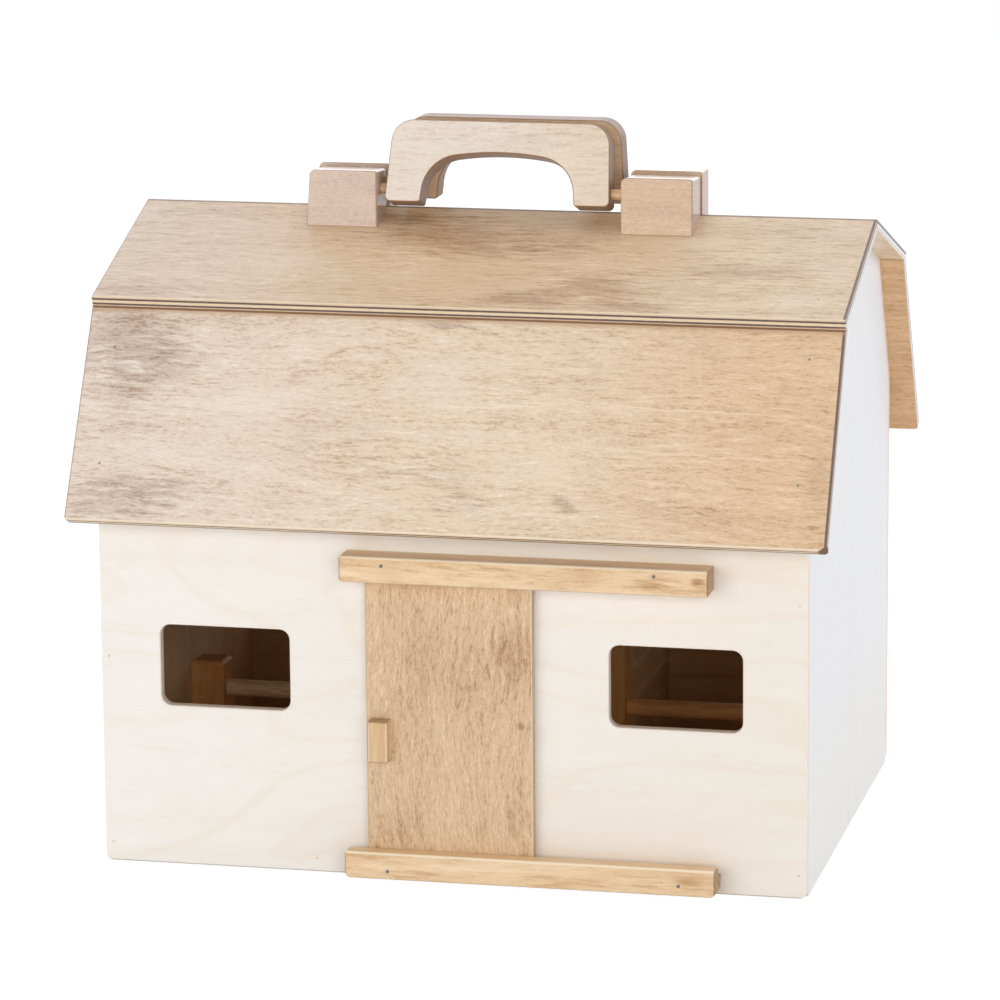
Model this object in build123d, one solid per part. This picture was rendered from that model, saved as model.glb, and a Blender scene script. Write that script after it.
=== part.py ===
from build123d import *
import os
from math import asin, atan2, cos, degrees, hypot, radians, sin, tan

# A wooden toy barn, split along its ridge into a front half and a rear half that open like a book
# on two brass hinges. Lengths are in millimetres and angles in degrees. X runs along the ridge,
# with the hinges at its low end, the front faces -Y, and Z is up from the table.

# ---- sheets, walls and roof -------------------------------------------------------------------
PLY = 6.0                    # thickness of walls, gables, floors, roof, dividers and door
HOUSE_WIDTH = 406.0          # outside, gable to gable
HOUSE_DEPTH = 302.0          # outside, front wall to rear wall
SEAM = 0.4                   # gap between the two halves
FLOOR_RISE = 5.0             # underside of the floors above the table
EASE = 0.6                   # sanded edge of a ply sheet
WALL_CORNER = 4.0            # rounding of a wall's two bottom corners
EAVE_CORNER = 2.2            # rounding of the lower roof's corners
CUT_ALONG_EAVE = 4.9         # slanting cut at the front half's far eave corner: along the eave
CUT_UP_SLOPE = 3.3           # up the slope
CUT_ALONG_INSIDE = 1.8       # and along the eave on the inner face
UPPER_SLOPE = 18.25          # pitch of the upper roof
LOWER_SLOPE = 60.0           # pitch of the lower roof
BREAK_REACH = 115.5          # from the ridge plane to the upper roof's lower edge
BREAK_HEIGHT = 321.0         # height of that edge
LOWER_ROOF_LENGTH = 127.5    # down the slope, outside
HINGE_END_OVERHANG = 12.0    # roof past the gable that carries the hinges
FAR_END_OVERHANG = 14.4      # roof past the other gable

# ---- windows, doorway and sliding door --------------------------------------------------------
WINDOW_WIDTH = 75.5
WINDOW_HEIGHT = 47.0
WINDOW_CORNER = 6.0
WINDOW_CENTRES = (-130.2, 129.0)    # along X
WINDOW_MIDDLE = 116.8        # window centre above the table
WINDOW_EASE = 1.1            # rounding of its outer rim
DOORWAY_WIDTH = 82.0
DOORWAY_SILL = 18.0
DOORWAY_TOP = 172.0
DOOR_MIDDLE = 1.3            # middle of the doorway and of the shut door, along X
DOOR_WIDTH = 95.6
DOOR_BOTTOM = 12.3
DOOR_TOP = 179.8
DOOR_GAP = 0.8               # door to wall
DOOR_TRAVEL = 95.0
RAIL_DEPTH = 17.0
RAIL_GROOVE = 7.4            # groove width, from the wall outwards
RAIL_EASE = 1.4              # sanded front edges
RAIL_CORNER = 1.7            # rounding of a rail's ends, seen from the front
RAIL_FOOT_CORNER = 3.0       # and of the lower corners of the bottom rail
TOP_RAIL = (-59.0, 150.4)    # ends along X
TOP_RAIL_HEIGHTS = (173.6, 188.6)
TOP_GROOVE_ROOF = 180.6
BOTTOM_RAIL = (-57.8, 154.4)
BOTTOM_RAIL_HEIGHTS = (2.5, 18.0)
BOTTOM_GROOVE_FLOOR = 12.0
PULL = (-43.4, -32.7)        # ends of the door pull along X
PULL_HEIGHTS = (70.0, 93.8)
PULL_DEPTH = 9.5
PULL_EASE = 1.2

# ---- handles ----------------------------------------------------------------------------------
BLOCK_MIDDLE = 1.9           # middle of each pair of handle blocks, along X
BLOCK_INNER = 71.6           # a block's inner face from that middle
BLOCK_WIDTH = 41.8
BLOCK_REACH = {"front": (4.6, 27.0), "rear": (3.3, 23.5)}         # faces from the ridge plane
BLOCK_TOPS = {"front": (381.6, 383.2), "rear": (383.2, 382.8)}    # heights over those faces
BLOCK_CORNERS = (3.8, 1.7)   # rounding of the top corners towards -X and +X
BLOCK_EASE = 0.8
BLOCK_LEANS = {("front", -1): 3.6}    # degrees that an outer side leans inwards, by half and side
PIN_RADIUS = 3.0
PIN_REACH = 14.0             # handle pivot from the ridge plane
PIN_HEIGHT = 371.3
PIN_IN_BLOCK = 20.0
PIN_IN_LEG = 14.0
PIN_END_GAP = 1.0            # past the dowel's end in a handle's leg
RUNNING_CLEARANCE = 0.05     # radial, round every pin, dowel, nail and screw
HANDLE_THICK = 16.0
HANDLE_ABOVE_PIN = 39.5
HANDLE_BELOW_PIN = 8.7
HANDLE_HALF_FOOT = 66.3      # half the width at the feet
HANDLE_HALF_TOP = 63.6       # half the width where the top corners start
HANDLE_CORNER = 13.0
HANDLE_FOOT_CORNER = 3.4
HANDLE_EASE = 1.0
ARCH_CROWN = 21.0            # finger opening's top above the pivot
ARCH_SPRING = (42.6, 15.4)   # where the arch's crown would meet its straight flanks
ARCH_CORNER = 22.0           # rounding there
ARCH_HALF_FOOT = 45.2
ARCH_FOOT_CORNER = 1.6
FRONT_HANDLE_MIDDLE = 0.2    # each handle's own place on its pins, along X
REAR_HANDLE_MIDDLE = 3.2
FRONT_HANDLE_LEAN = 18.3     # tilt from upright, resting against the rear handle

# ---- stalls in the rear half ------------------------------------------------------------------
POST = 20.0                  # side of every square post
POST_REACH = 9.0             # a post's front face from the ridge plane
SHORT_POST_TOP = 78.0
TALL_POST_TOP = 146.0
POST_CHAMFER = 2.2
STALL_REACH = 68.0           # tall post's outer face from the middle of the barn
DIVIDER_TOP = 134.0
STALL_RAIL_RADIUS = 5.0
STALL_RAIL_HEIGHTS = {"lower": 32.0, "upper": 60.0}
RAIL_TENON = 6.0             # length of each rail end in its post

# ---- hinges -----------------------------------------------------------------------------------
BATTEN_REACH = (3.0, 27.0)   # a batten's edges from the ridge plane
BATTEN_HEIGHTS = (3.0, 318.0)
BATTEN_EASE = 1.2
LEAF_THICK = 1.2
LEAF_WIDTH = 21.0            # from the hinge pin to the leaf's far edge
LEAF_HEIGHT = 50.0
HINGE_HEIGHTS = {"lower": 70.0, "upper": 250.0}
FOLDED_GAP = 0.8             # between the two leaves when the barn lies open
KNUCKLE_RADIUS = 2.6
KNUCKLES = 5
KNUCKLE_GAP = 0.3
HINGE_PIN_RADIUS = 1.25
SCREW_ROWS = (-17.0, 0.0, 17.0)
SCREW_COLUMNS = (10.0, 16.0, 10.0)
SCREW_HEAD_RADIUS = 2.6
SCREW_SHANK_RADIUS = 1.2
SCREW_LENGTH = 10.0
SCREW_SLOT = 0.6

# ---- nails ------------------------------------------------------------------------------------
BRAD_RADIUS = 0.7
BRAD_LENGTH = 14.0
BRAD_SINK = 0.12             # head below the surface
BRAD_INSET = 4.5             # from a gable's outer face
HOLE_MOUTH = 2.0             # how far a nail's hole is cut past its head
WALL_BRADS = {"hinge": (11.0, 120.4, 200.0), "far": (13.0, 167.6, 200.0)}     # heights
FLOOR_BRAD_REACHES = (-78.0, 78.0)
LOWER_ROOF_BRADS = {"hinge": (34.0, 103.0), "far": (37.0, 110.0)}    # up from the eave
UPPER_ROOF_BRADS = {"hinge": (22.0, 98.0), "far": (24.0, 95.0)}      # up from the break
RAIL_NAIL_RADIUS = 1.0
RAIL_NAIL_LENGTH = 20.0
RAIL_NAIL_SINK = 0.7
TOP_RAIL_NAILS = ((-34.3, 183.8), (120.0, 184.6))
BOTTOM_RAIL_NAILS = ((-32.9, 7.4), (133.6, 8.4))

# ---- worked out from the above ----------------------------------------------------------------
HALF_WIDTH = HOUSE_WIDTH / 2
WALL_FACE = HOUSE_DEPTH / 2
WALL_BACK = WALL_FACE - PLY
HALF_SEAM = SEAM / 2
FLOOR_TOP = FLOOR_RISE + PLY
ROOF_ENDS = (-HALF_WIDTH - HINGE_END_OVERHANG, HALF_WIDTH + FAR_END_OVERHANG)
LAP_REACH = BREAK_REACH - PLY * sin(radians(UPPER_SLOPE))
LAP_HEIGHT = BREAK_HEIGHT - PLY * cos(radians(UPPER_SLOPE))
EAVE_REACH = LAP_REACH + LOWER_ROOF_LENGTH * cos(radians(LOWER_SLOPE))
EAVE_HEIGHT = LAP_HEIGHT - LOWER_ROOF_LENGTH * sin(radians(LOWER_SLOPE))
HINGE_AXIS_X = ROOF_ENDS[0] - LEAF_THICK - FOLDED_GAP / 2
CENTRING = -(HINGE_AXIS_X - KNUCKLE_RADIUS + ROOF_ENDS[1]) / 2   # puts X = 0 mid-way along the barn


# ---- shapes shared by many pieces -------------------------------------------------------------
def block(x, y, z):
    """A box from its low and high bounds on each axis."""
    bounds = (x, y, z)
    size = [high - low for low, high in bounds]
    middle = [(low + high) / 2 for low, high in bounds]
    return Pos(*middle) * Box(*size)


def prism_along_x(outline, x):
    """An outline of (y, z) points, drawn out along X between two bounds."""
    face = Plane.YZ * Polygon(*outline, align=None)
    return Pos(x[0], 0, 0) * extrude(face, amount=x[1] - x[0], dir=(1, 0, 0))


def rod(start, end, radius):
    """A round bar from one point to another."""
    along = Vector(*end) - Vector(*start)
    base = Plane(origin=start, z_dir=along)
    return extrude(base * Circle(radius), amount=along.length)


def group(solids):
    """Separate solids kept in one node."""
    return Compound(children=list(solids))


def mirrored(part):
    """The same piece on the other side of the ridge plane."""
    return mirror(part, about=Plane.XZ)


def drilled(part, rods):
    """A piece with a clearance hole for each (start, end, radius) rod."""
    for start, end, radius in rods:
        part = part - rod(start, end, radius + RUNNING_CLEARANCE)
    return part


def nailed(part, nails):
    """A piece with a hole for each nail, open above its head."""
    holes = []
    for head, tip, radius in nails:
        lift = (Vector(*head) - Vector(*tip)).normalized() * HOLE_MOUTH
        holes.append((tuple(Vector(*head) + lift), tip, radius))
    return drilled(part, holes)


def eased(part, radius):
    """A piece with all its edges rounded."""
    return fillet(part.edges(), radius)


# ---- lines of the roof, as heights at a distance from the ridge plane --------------------------
def upper_top(reach):
    """Height of the upper roof's outer face."""
    return BREAK_HEIGHT + (BREAK_REACH - reach) * tan(radians(UPPER_SLOPE))


def upper_underside(reach):
    """Height of the upper roof's inner face."""
    return upper_top(reach) - PLY / cos(radians(UPPER_SLOPE))


def lower_underside(reach):
    """Height of the lower roof's inner face."""
    outer = LAP_HEIGHT - (reach - LAP_REACH) * tan(radians(LOWER_SLOPE))
    return outer - PLY / cos(radians(LOWER_SLOPE))


def inner_break():
    """Where the two roofs' inner faces meet, as (reach, height)."""
    fall = tan(radians(LOWER_SLOPE)) - tan(radians(UPPER_SLOPE))
    reach = LAP_REACH - (LAP_HEIGHT - lower_underside(LAP_REACH)) / fall
    return reach, upper_underside(reach)


# ---- nails, as (start, end, radius) rods on the rear half --------------------------------------
def on_gables(places):
    """(x, place) for every nail that reaches a gable, from the places on each side."""
    columns = {"hinge": -HALF_WIDTH + BRAD_INSET, "far": HALF_WIDTH - BRAD_INSET}
    return [(columns[side], place) for side in places for place in places[side]]


def wall_brads():
    """Nails through a wall into the gables' edges and the floor's edge."""
    spots = on_gables(WALL_BRADS)
    spots += [(x, FLOOR_RISE + PLY / 2) for x in FLOOR_BRAD_REACHES]
    head = WALL_FACE - BRAD_SINK
    return [((x, head, z), (x, head - BRAD_LENGTH, z), BRAD_RADIUS) for x, z in spots]


def slope_brads(foot, slope, places):
    """Nails square to a roof sheet, at distances up its slope from its foot."""
    rods = []
    outward = (sin(radians(slope)), cos(radians(slope)))
    for x, distance in on_gables(places):
        reach = foot[0] - distance * cos(radians(slope)) - BRAD_SINK * outward[0]
        height = foot[1] + distance * sin(radians(slope)) - BRAD_SINK * outward[1]
        tip = (x, reach - BRAD_LENGTH * outward[0], height - BRAD_LENGTH * outward[1])
        rods.append(((x, reach, height), tip, BRAD_RADIUS))
    return rods


def lower_roof_brads():
    """Nails through the lower roof into the gables."""
    return slope_brads((EAVE_REACH, EAVE_HEIGHT), LOWER_SLOPE, LOWER_ROOF_BRADS)


def upper_roof_brads():
    """Nails through the upper roof into the gables."""
    return slope_brads((BREAK_REACH, BREAK_HEIGHT), UPPER_SLOPE, UPPER_ROOF_BRADS)


def rail_nails():
    """Nails through the door rails into the front wall."""
    head = -WALL_FACE - RAIL_DEPTH + RAIL_NAIL_SINK
    spots = TOP_RAIL_NAILS + BOTTOM_RAIL_NAILS
    return [((x, head, z), (x, head + RAIL_NAIL_LENGTH, z), RAIL_NAIL_RADIUS) for x, z in spots]


# ---- house ------------------------------------------------------------------------------------
def window_cutter(x):
    """A rounded bar that cuts one window."""
    outline = Plane.XZ * RectangleRounded(WINDOW_WIDTH, WINDOW_HEIGHT, WINDOW_CORNER)
    bar = extrude(outline, amount=HOUSE_DEPTH, both=True)
    return Pos(x, 0, WINDOW_MIDDLE) * bar


def wall():
    """The rear wall: bevelled under the roof, with two windows."""
    outline = [
        (WALL_BACK, 0),
        (WALL_FACE, 0),
        (WALL_FACE, lower_underside(WALL_FACE)),
        (WALL_BACK, lower_underside(WALL_BACK)),
    ]
    sheet = prism_along_x(outline, (-HALF_WIDTH, HALF_WIDTH))
    bottom_corners = sheet.edges().filter_by(Axis.Y).group_by(Axis.Z)[0]
    sheet = fillet(bottom_corners, WALL_CORNER)
    outside = sheet.faces().sort_by(Axis.Y)[-1]
    sheet = fillet(outside.edges(), EASE)
    for x in WINDOW_CENTRES:
        sheet = sheet - window_cutter(x)
    outside = sheet.faces().sort_by(Axis.Y)[-1]
    rims = [edge for rim in outside.inner_wires() for edge in rim.edges()]
    sheet = fillet(rims, WINDOW_EASE)
    return nailed(sheet, wall_brads() + lower_roof_brads())


def front_wall():
    """The front wall, which has a doorway too."""
    opening = (DOOR_MIDDLE - DOORWAY_WIDTH / 2, DOOR_MIDDLE + DOORWAY_WIDTH / 2)
    doorway = block(opening, (-HOUSE_DEPTH, 0), (DOORWAY_SILL, DOORWAY_TOP))
    doorway = fillet(doorway.edges().filter_by(Axis.Y), WINDOW_CORNER)
    sheet = mirrored(wall()) - doorway
    return nailed(sheet, rail_nails())


def gable(x, nails):
    """Half a gable, between two X bounds."""
    outline = [
        (HALF_SEAM, 0),
        (WALL_BACK, 0),
        (WALL_BACK, lower_underside(WALL_BACK)),
        inner_break(),
        (HALF_SEAM, upper_underside(HALF_SEAM)),
    ]
    return nailed(prism_along_x(outline, x), nails)


def floor(nails):
    """A floor between the gables, from the ridge plane to the wall."""
    x = (-HALF_WIDTH + PLY, HALF_WIDTH - PLY)
    sheet = block(x, (HALF_SEAM, WALL_BACK), (FLOOR_RISE, FLOOR_TOP))
    return nailed(sheet, nails)


def upper_roof():
    """The shallow roof sheet, mitred at the ridge and square at its lower edge."""
    outline = [
        (HALF_SEAM, upper_underside(HALF_SEAM)),
        (LAP_REACH, LAP_HEIGHT),
        (BREAK_REACH, BREAK_HEIGHT),
        (HALF_SEAM, upper_top(HALF_SEAM)),
    ]
    sheet = eased(prism_along_x(outline, ROOF_ENDS), EASE)
    return nailed(sheet, upper_roof_brads())


def eave_cut():
    """The slanting plane that takes the eave corner off the front half's lower roof."""
    slope = radians(LOWER_SLOPE)
    corner = Vector(ROOF_ENDS[1], EAVE_REACH, EAVE_HEIGHT)
    up = Vector(0, -cos(slope), sin(slope))
    inward = Vector(0, -sin(slope), -cos(slope))
    start = corner - Vector(CUT_ALONG_EAVE, 0, 0)
    across = corner + up * CUT_UP_SLOPE - start
    through = corner + inward * PLY - Vector(CUT_ALONG_INSIDE, 0, 0) - start
    return Plane(origin=start, x_dir=across, z_dir=across.cross(through))


def lower_roof(front):
    """The steep roof sheet, bevelled to fit under the upper one."""
    slope = radians(LOWER_SLOPE)
    inner_eave = (EAVE_REACH - PLY * sin(slope), EAVE_HEIGHT - PLY * cos(slope))
    outline = [(LAP_REACH, LAP_HEIGHT), (EAVE_REACH, EAVE_HEIGHT), inner_eave, inner_break()]
    sheet = prism_along_x(outline, ROOF_ENDS)
    through = Axis((0, 0, 0), (0, sin(slope), cos(slope)))
    corners = sheet.edges().filter_by(through).sort_by(Axis.X)
    sheet = fillet(corners[:1] if front else corners, EAVE_CORNER)
    for index in (0, -1):
        face = sheet.faces().sort_by(through)[index]
        sheet = fillet(face.edges(), EASE)
    if front:
        sheet = split(sheet, bisect_by=eave_cut(), keep=Keep.BOTTOM)
    return nailed(sheet, lower_roof_brads())


# ---- handles ----------------------------------------------------------------------------------
def handle_pins(end_gap=0.0):
    """The two pivot dowels of the rear handle, as (start, end, radius) rods."""
    rods = []
    for side in (-1, 1):
        inner_face = BLOCK_MIDDLE + side * BLOCK_INNER
        near = FRONT_HANDLE_MIDDLE + side * (HANDLE_HALF_FOOT - PIN_IN_LEG - end_gap)
        far = inner_face + side * PIN_IN_BLOCK
        rods.append(((near, PIN_REACH, PIN_HEIGHT), (far, PIN_REACH, PIN_HEIGHT), PIN_RADIUS))
    return rods


def handle_block(side, half):
    """A block glued to the upper roof, with a blind hole for a pivot dowel."""
    inner = BLOCK_MIDDLE + side * BLOCK_INNER
    outer = inner + side * BLOCK_WIDTH
    near, far = BLOCK_REACH[half]
    near_top, far_top = BLOCK_TOPS[half]
    outline = [(near, upper_top(near)), (far, upper_top(far)), (far, far_top), (near, near_top)]
    body = prism_along_x(outline, sorted((inner, outer)))
    lean = radians(BLOCK_LEANS.get((half, side), 0))
    outer_side = Plane(origin=(outer, 0, upper_top(far)), z_dir=(side * cos(lean), 0, sin(lean)))
    body = split(body, bisect_by=outer_side, keep=Keep.BOTTOM)
    for index, radius in zip((0, -1), BLOCK_CORNERS):
        top = body.faces().sort_by(Axis.Z)[-1]
        ends = top.edges().filter_by(Axis.X, reverse=True).sort_by(Axis.X)
        body = fillet(ends[index], radius)
    for face in (body.faces().sort_by(Axis.Y)[0], body.faces().sort_by(Axis.Y)[-1]):
        rim = face.edges().sort_by(Axis.Z)[1:]
        body = fillet(rim, BLOCK_EASE)
    return drilled(body, handle_pins())


def handle_outline():
    """The handle's face about its pivot line: rounded, tapered, with an arched finger opening."""
    foot = -HANDLE_BELOW_PIN
    spring_reach, spring_height = ARCH_SPRING
    with BuildSketch() as face:
        with BuildLine():
            Polyline(
                (spring_reach, spring_height),
                (ARCH_HALF_FOOT, foot),
                (HANDLE_HALF_FOOT, foot),
                (HANDLE_HALF_TOP, HANDLE_ABOVE_PIN),
                (-HANDLE_HALF_TOP, HANDLE_ABOVE_PIN),
                (-HANDLE_HALF_FOOT, foot),
                (-ARCH_HALF_FOOT, foot),
                (-spring_reach, spring_height),
            )
            ThreePointArc((-spring_reach, spring_height), (0, ARCH_CROWN), ARCH_SPRING)
        make_face()
        corners = (
            (HANDLE_HALF_TOP, HANDLE_ABOVE_PIN, HANDLE_CORNER),
            (HANDLE_HALF_FOOT, foot, HANDLE_FOOT_CORNER),
            (ARCH_HALF_FOOT, foot, ARCH_FOOT_CORNER),
            (spring_reach, spring_height, ARCH_CORNER),
        )
        for reach, height, radius in corners:
            for side in (-1, 1):
                corner = face.vertices().sort_by_distance((side * reach, height, 0))[0]
                fillet(corner, radius)
    return Plane.XZ * face.sketch


def handle(middle, lean):
    """A carrying handle on the rear half's pivot line, leaning towards the front by an angle."""
    body = extrude(handle_outline(), amount=HANDLE_THICK / 2, both=True)
    rims = body.faces().filter_by(Axis.Y).edges()
    body = fillet(rims, HANDLE_EASE)
    placed = Pos(middle, PIN_REACH, PIN_HEIGHT) * Rot(lean, 0, 0) * body
    return drilled(placed, handle_pins(PIN_END_GAP))


# ---- sliding door -----------------------------------------------------------------------------
def door_panel():
    """The sliding door, shut."""
    x = (DOOR_MIDDLE - DOOR_WIDTH / 2, DOOR_MIDDLE + DOOR_WIDTH / 2)
    inner = -WALL_FACE - DOOR_GAP
    sheet = block(x, (inner - PLY, inner), (DOOR_BOTTOM, DOOR_TOP))
    return eased(sheet, EASE)


def door_pull():
    """A small upright wooden grip, glued near the door's left edge."""
    face = -WALL_FACE - DOOR_GAP - PLY
    body = block(PULL, (face - PULL_DEPTH, face), PULL_HEIGHTS)
    front = body.faces().sort_by(Axis.Y)[0]
    return fillet(front.edges(), PULL_EASE)


def door_rail(x, z, groove_x, groove_z, foot_corner):
    """A rail on the front wall, with sanded ends and a groove for the door's edge."""
    body = block(x, (-WALL_FACE - RAIL_DEPTH, -WALL_FACE), z)
    body = fillet(body.edges().filter_by(Axis.Y).group_by(Axis.Z)[-1], RAIL_CORNER)
    body = fillet(body.edges().filter_by(Axis.Y).group_by(Axis.Z)[0], foot_corner)
    front = body.faces().sort_by(Axis.Y)[0]
    body = fillet(front.edges(), RAIL_EASE)
    groove = block(groove_x, (-WALL_FACE - RAIL_GROOVE, -WALL_FACE), groove_z)
    return nailed(body - groove, rail_nails())


def door_top_rail():
    """The upper rail, whose groove stops short of both ends and so stops the door."""
    shut = (DOOR_MIDDLE - DOOR_WIDTH / 2, DOOR_MIDDLE + DOOR_WIDTH / 2)
    groove_x = (shut[0] - 1, shut[1] + DOOR_TRAVEL + 1)
    groove_z = (TOP_RAIL_HEIGHTS[0], TOP_GROOVE_ROOF)
    return door_rail(TOP_RAIL, TOP_RAIL_HEIGHTS, groove_x, groove_z, RAIL_CORNER)


def door_bottom_rail():
    """The lower rail, whose groove runs out at both ends."""
    groove_z = (BOTTOM_GROOVE_FLOOR, BOTTOM_RAIL_HEIGHTS[1])
    return door_rail(BOTTOM_RAIL, BOTTOM_RAIL_HEIGHTS, BOTTOM_RAIL, groove_z, RAIL_FOOT_CORNER)


# ---- stalls -----------------------------------------------------------------------------------
def stall_rail_rods(side):
    """The dowels between a short post and a tall one, as {height name: rod}."""
    y = POST_REACH + POST / 2
    inner = side * (STALL_REACH - RAIL_TENON)
    outer = side * (HALF_WIDTH - PLY - POST + RAIL_TENON)
    radius = STALL_RAIL_RADIUS
    return {name: ((inner, y, z), (outer, y, z), radius) for name, z in STALL_RAIL_HEIGHTS.items()}


def post(x, top, side):
    """A square post with a chamfered top, bored for the stall rails on its side."""
    body = block(x, (POST_REACH, POST_REACH + POST), (FLOOR_TOP, top))
    body = chamfer(body.faces().sort_by(Axis.Z)[-1].edges(), POST_CHAMFER)
    return drilled(body, stall_rail_rods(side).values())


def stalls():
    """Posts, dividers and rails of the two stalls."""
    parts = {}
    for name, side in (("left", -1), ("right", 1)):
        at_gable = sorted((side * (HALF_WIDTH - PLY), side * (HALF_WIDTH - PLY - POST)))
        at_aisle = sorted((side * STALL_REACH, side * (STALL_REACH - POST)))
        parts[f"stall_post_short_{name}"] = post(at_gable, SHORT_POST_TOP, side)
        parts[f"stall_post_tall_{name}"] = post(at_aisle, TALL_POST_TOP, side)
        divider_x = sorted((side * STALL_REACH, side * (STALL_REACH - PLY)))
        divider = block(divider_x, (POST_REACH + POST, WALL_BACK), (FLOOR_TOP, DIVIDER_TOP))
        parts[f"stall_divider_{name}"] = divider
        for level, ends in stall_rail_rods(side).items():
            parts[f"stall_rail_{level}_{name}"] = rod(*ends)
    return parts


# ---- hinges -----------------------------------------------------------------------------------
def screw_places():
    """Each screw head's centre on the rear leaves' outer faces."""
    x = HINGE_AXIS_X + FOLDED_GAP / 2
    places = []
    for middle in HINGE_HEIGHTS.values():
        for row, column in zip(SCREW_ROWS, SCREW_COLUMNS):
            places.append((x, column, middle + row))
    return places


def screw(place, growth=0.0):
    """A countersunk screw driven along +X, or with growth the hole for it."""
    head = Plane(origin=place, z_dir=(1, 0, 0)) * Circle(SCREW_HEAD_RADIUS + growth)
    neck_radius = SCREW_SHANK_RADIUS + growth
    neck = Plane(origin=(place[0] + LEAF_THICK, place[1], place[2]), z_dir=(1, 0, 0))
    cone = loft([head.face(), (neck * Circle(neck_radius)).face()])
    tip = (place[0] + SCREW_LENGTH + growth, place[1], place[2])
    return cone + rod(place, tip, neck_radius)


def screws():
    """The slotted screws of the rear leaves."""
    solids = []
    for place in screw_places():
        slot_x = (place[0] - 1, place[0] + SCREW_SLOT / 2)
        slot_y = (place[1] - SCREW_HEAD_RADIUS * 2, place[1] + SCREW_HEAD_RADIUS * 2)
        slot_z = (place[2] - SCREW_SLOT / 2, place[2] + SCREW_SLOT / 2)
        solids.append(screw(place) - block(slot_x, slot_y, slot_z))
    return group(solids)


def batten():
    """The upright strip on the rear gable that carries the hinges."""
    x = (ROOF_ENDS[0], -HALF_WIDTH)
    body = block(x, BATTEN_REACH, BATTEN_HEIGHTS)
    outside = body.faces().sort_by(Axis.X)[0]
    body = fillet(outside.edges(), BATTEN_EASE)
    for place in screw_places():
        body = body - screw(place, RUNNING_CLEARANCE)
    return body


def hinge_leaf(middle, kept):
    """One leaf on the rear half's side, keeping every second knuckle from the kept one."""
    foot = middle - LEAF_HEIGHT / 2
    plate_x = (HINGE_AXIS_X + FOLDED_GAP / 2, HINGE_AXIS_X + FOLDED_GAP / 2 + LEAF_THICK)
    plate_y = (KNUCKLE_RADIUS + KNUCKLE_GAP, LEAF_WIDTH)
    leaf = block(plate_x, plate_y, (foot, foot + LEAF_HEIGHT))
    far_corners = leaf.edges().filter_by(Axis.X).group_by(Axis.Y)[-1]
    leaf = fillet(far_corners, LEAF_THICK)
    pitch = LEAF_HEIGHT / KNUCKLES
    for index in range(kept, KNUCKLES, 2):
        z = (foot + index * pitch + KNUCKLE_GAP / 2, foot + (index + 1) * pitch - KNUCKLE_GAP / 2)
        barrel = rod((HINGE_AXIS_X, 0, z[0]), (HINGE_AXIS_X, 0, z[1]), KNUCKLE_RADIUS)
        leaf = leaf + barrel + block(plate_x, (0, plate_y[0]), z)
    bore = hinge_pin_ends(middle)
    leaf = drilled(leaf, [bore])
    for place in screw_places():
        leaf = leaf - screw(place, RUNNING_CLEARANCE)
    return leaf


def hinge_pin_ends(middle):
    """The hinge pin at one height, as a (start, end, radius) rod."""
    reach = LEAF_HEIGHT / 2
    return (HINGE_AXIS_X, 0, middle - reach), (HINGE_AXIS_X, 0, middle + reach), HINGE_PIN_RADIUS


# ---- assembly ---------------------------------------------------------------------------------
def half_house(front):
    """The pieces that both halves have, named and placed for the front or the rear half."""
    brads = wall_brads()
    near_gable = (-HALF_WIDTH, -HALF_WIDTH + PLY)
    far_gable = (HALF_WIDTH - PLY, HALF_WIDTH)
    gable_nails = brads + lower_roof_brads() + upper_roof_brads()
    half = "front" if front else "rear"
    parts = {
        "gable_hinge_side": gable(near_gable, gable_nails),
        "gable_far_side": gable(far_gable, gable_nails),
        "floor": floor(brads),
        "upper_roof": upper_roof(),
        "lower_roof": lower_roof(front),
        "handle_block_left": handle_block(-1, half),
        "handle_block_right": handle_block(1, half),
        "handle_pins": group(rod(*ends) for ends in handle_pins()),
        "hinge_batten": batten(),
        "hinge_screws": screws(),
        "wall_brads": group(rod(*ends) for ends in brads),
        "roof_brads": group(rod(*ends) for ends in lower_roof_brads() + upper_roof_brads()),
    }
    for level, middle in HINGE_HEIGHTS.items():
        parts[f"hinge_leaf_{level}"] = hinge_leaf(middle, 1 if front else 0)
    if front:
        parts = {name: mirrored(part) for name, part in parts.items()}
    return {f"{half}_{name}": part for name, part in parts.items()}


def barn():
    """Every piece of the barn, by node name."""
    parts = half_house(front=False)
    parts["rear_wall"] = wall()
    parts.update(stalls())
    parts["hinge_pins"] = group(rod(*hinge_pin_ends(z)) for z in HINGE_HEIGHTS.values())
    parts.update(half_house(front=True))
    parts["front_wall"] = front_wall()
    parts["door_top_rail"] = door_top_rail()
    parts["door_bottom_rail"] = door_bottom_rail()
    parts["door_rail_nails"] = group(rod(*ends) for ends in rail_nails())
    parts["sliding_door"] = door_panel()
    parts["door_pull"] = door_pull()
    parts["rear_handle"] = handle(REAR_HANDLE_MIDDLE, 0)
    parts["front_handle"] = mirrored(handle(FRONT_HANDLE_MIDDLE, FRONT_HANDLE_LEAN))
    return parts


def fold_beyond_roof_line():
    """How far past parallel to the roof a handle turns before its top edge meets the roof."""
    clearance = (PIN_HEIGHT - upper_top(PIN_REACH)) * cos(radians(UPPER_SLOPE))
    corner = hypot(HANDLE_ABOVE_PIN, HANDLE_THICK / 2)
    start = degrees(atan2(HANDLE_THICK / 2, HANDLE_ABOVE_PIN))
    return degrees(asin(clearance / corner)) - start


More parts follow.
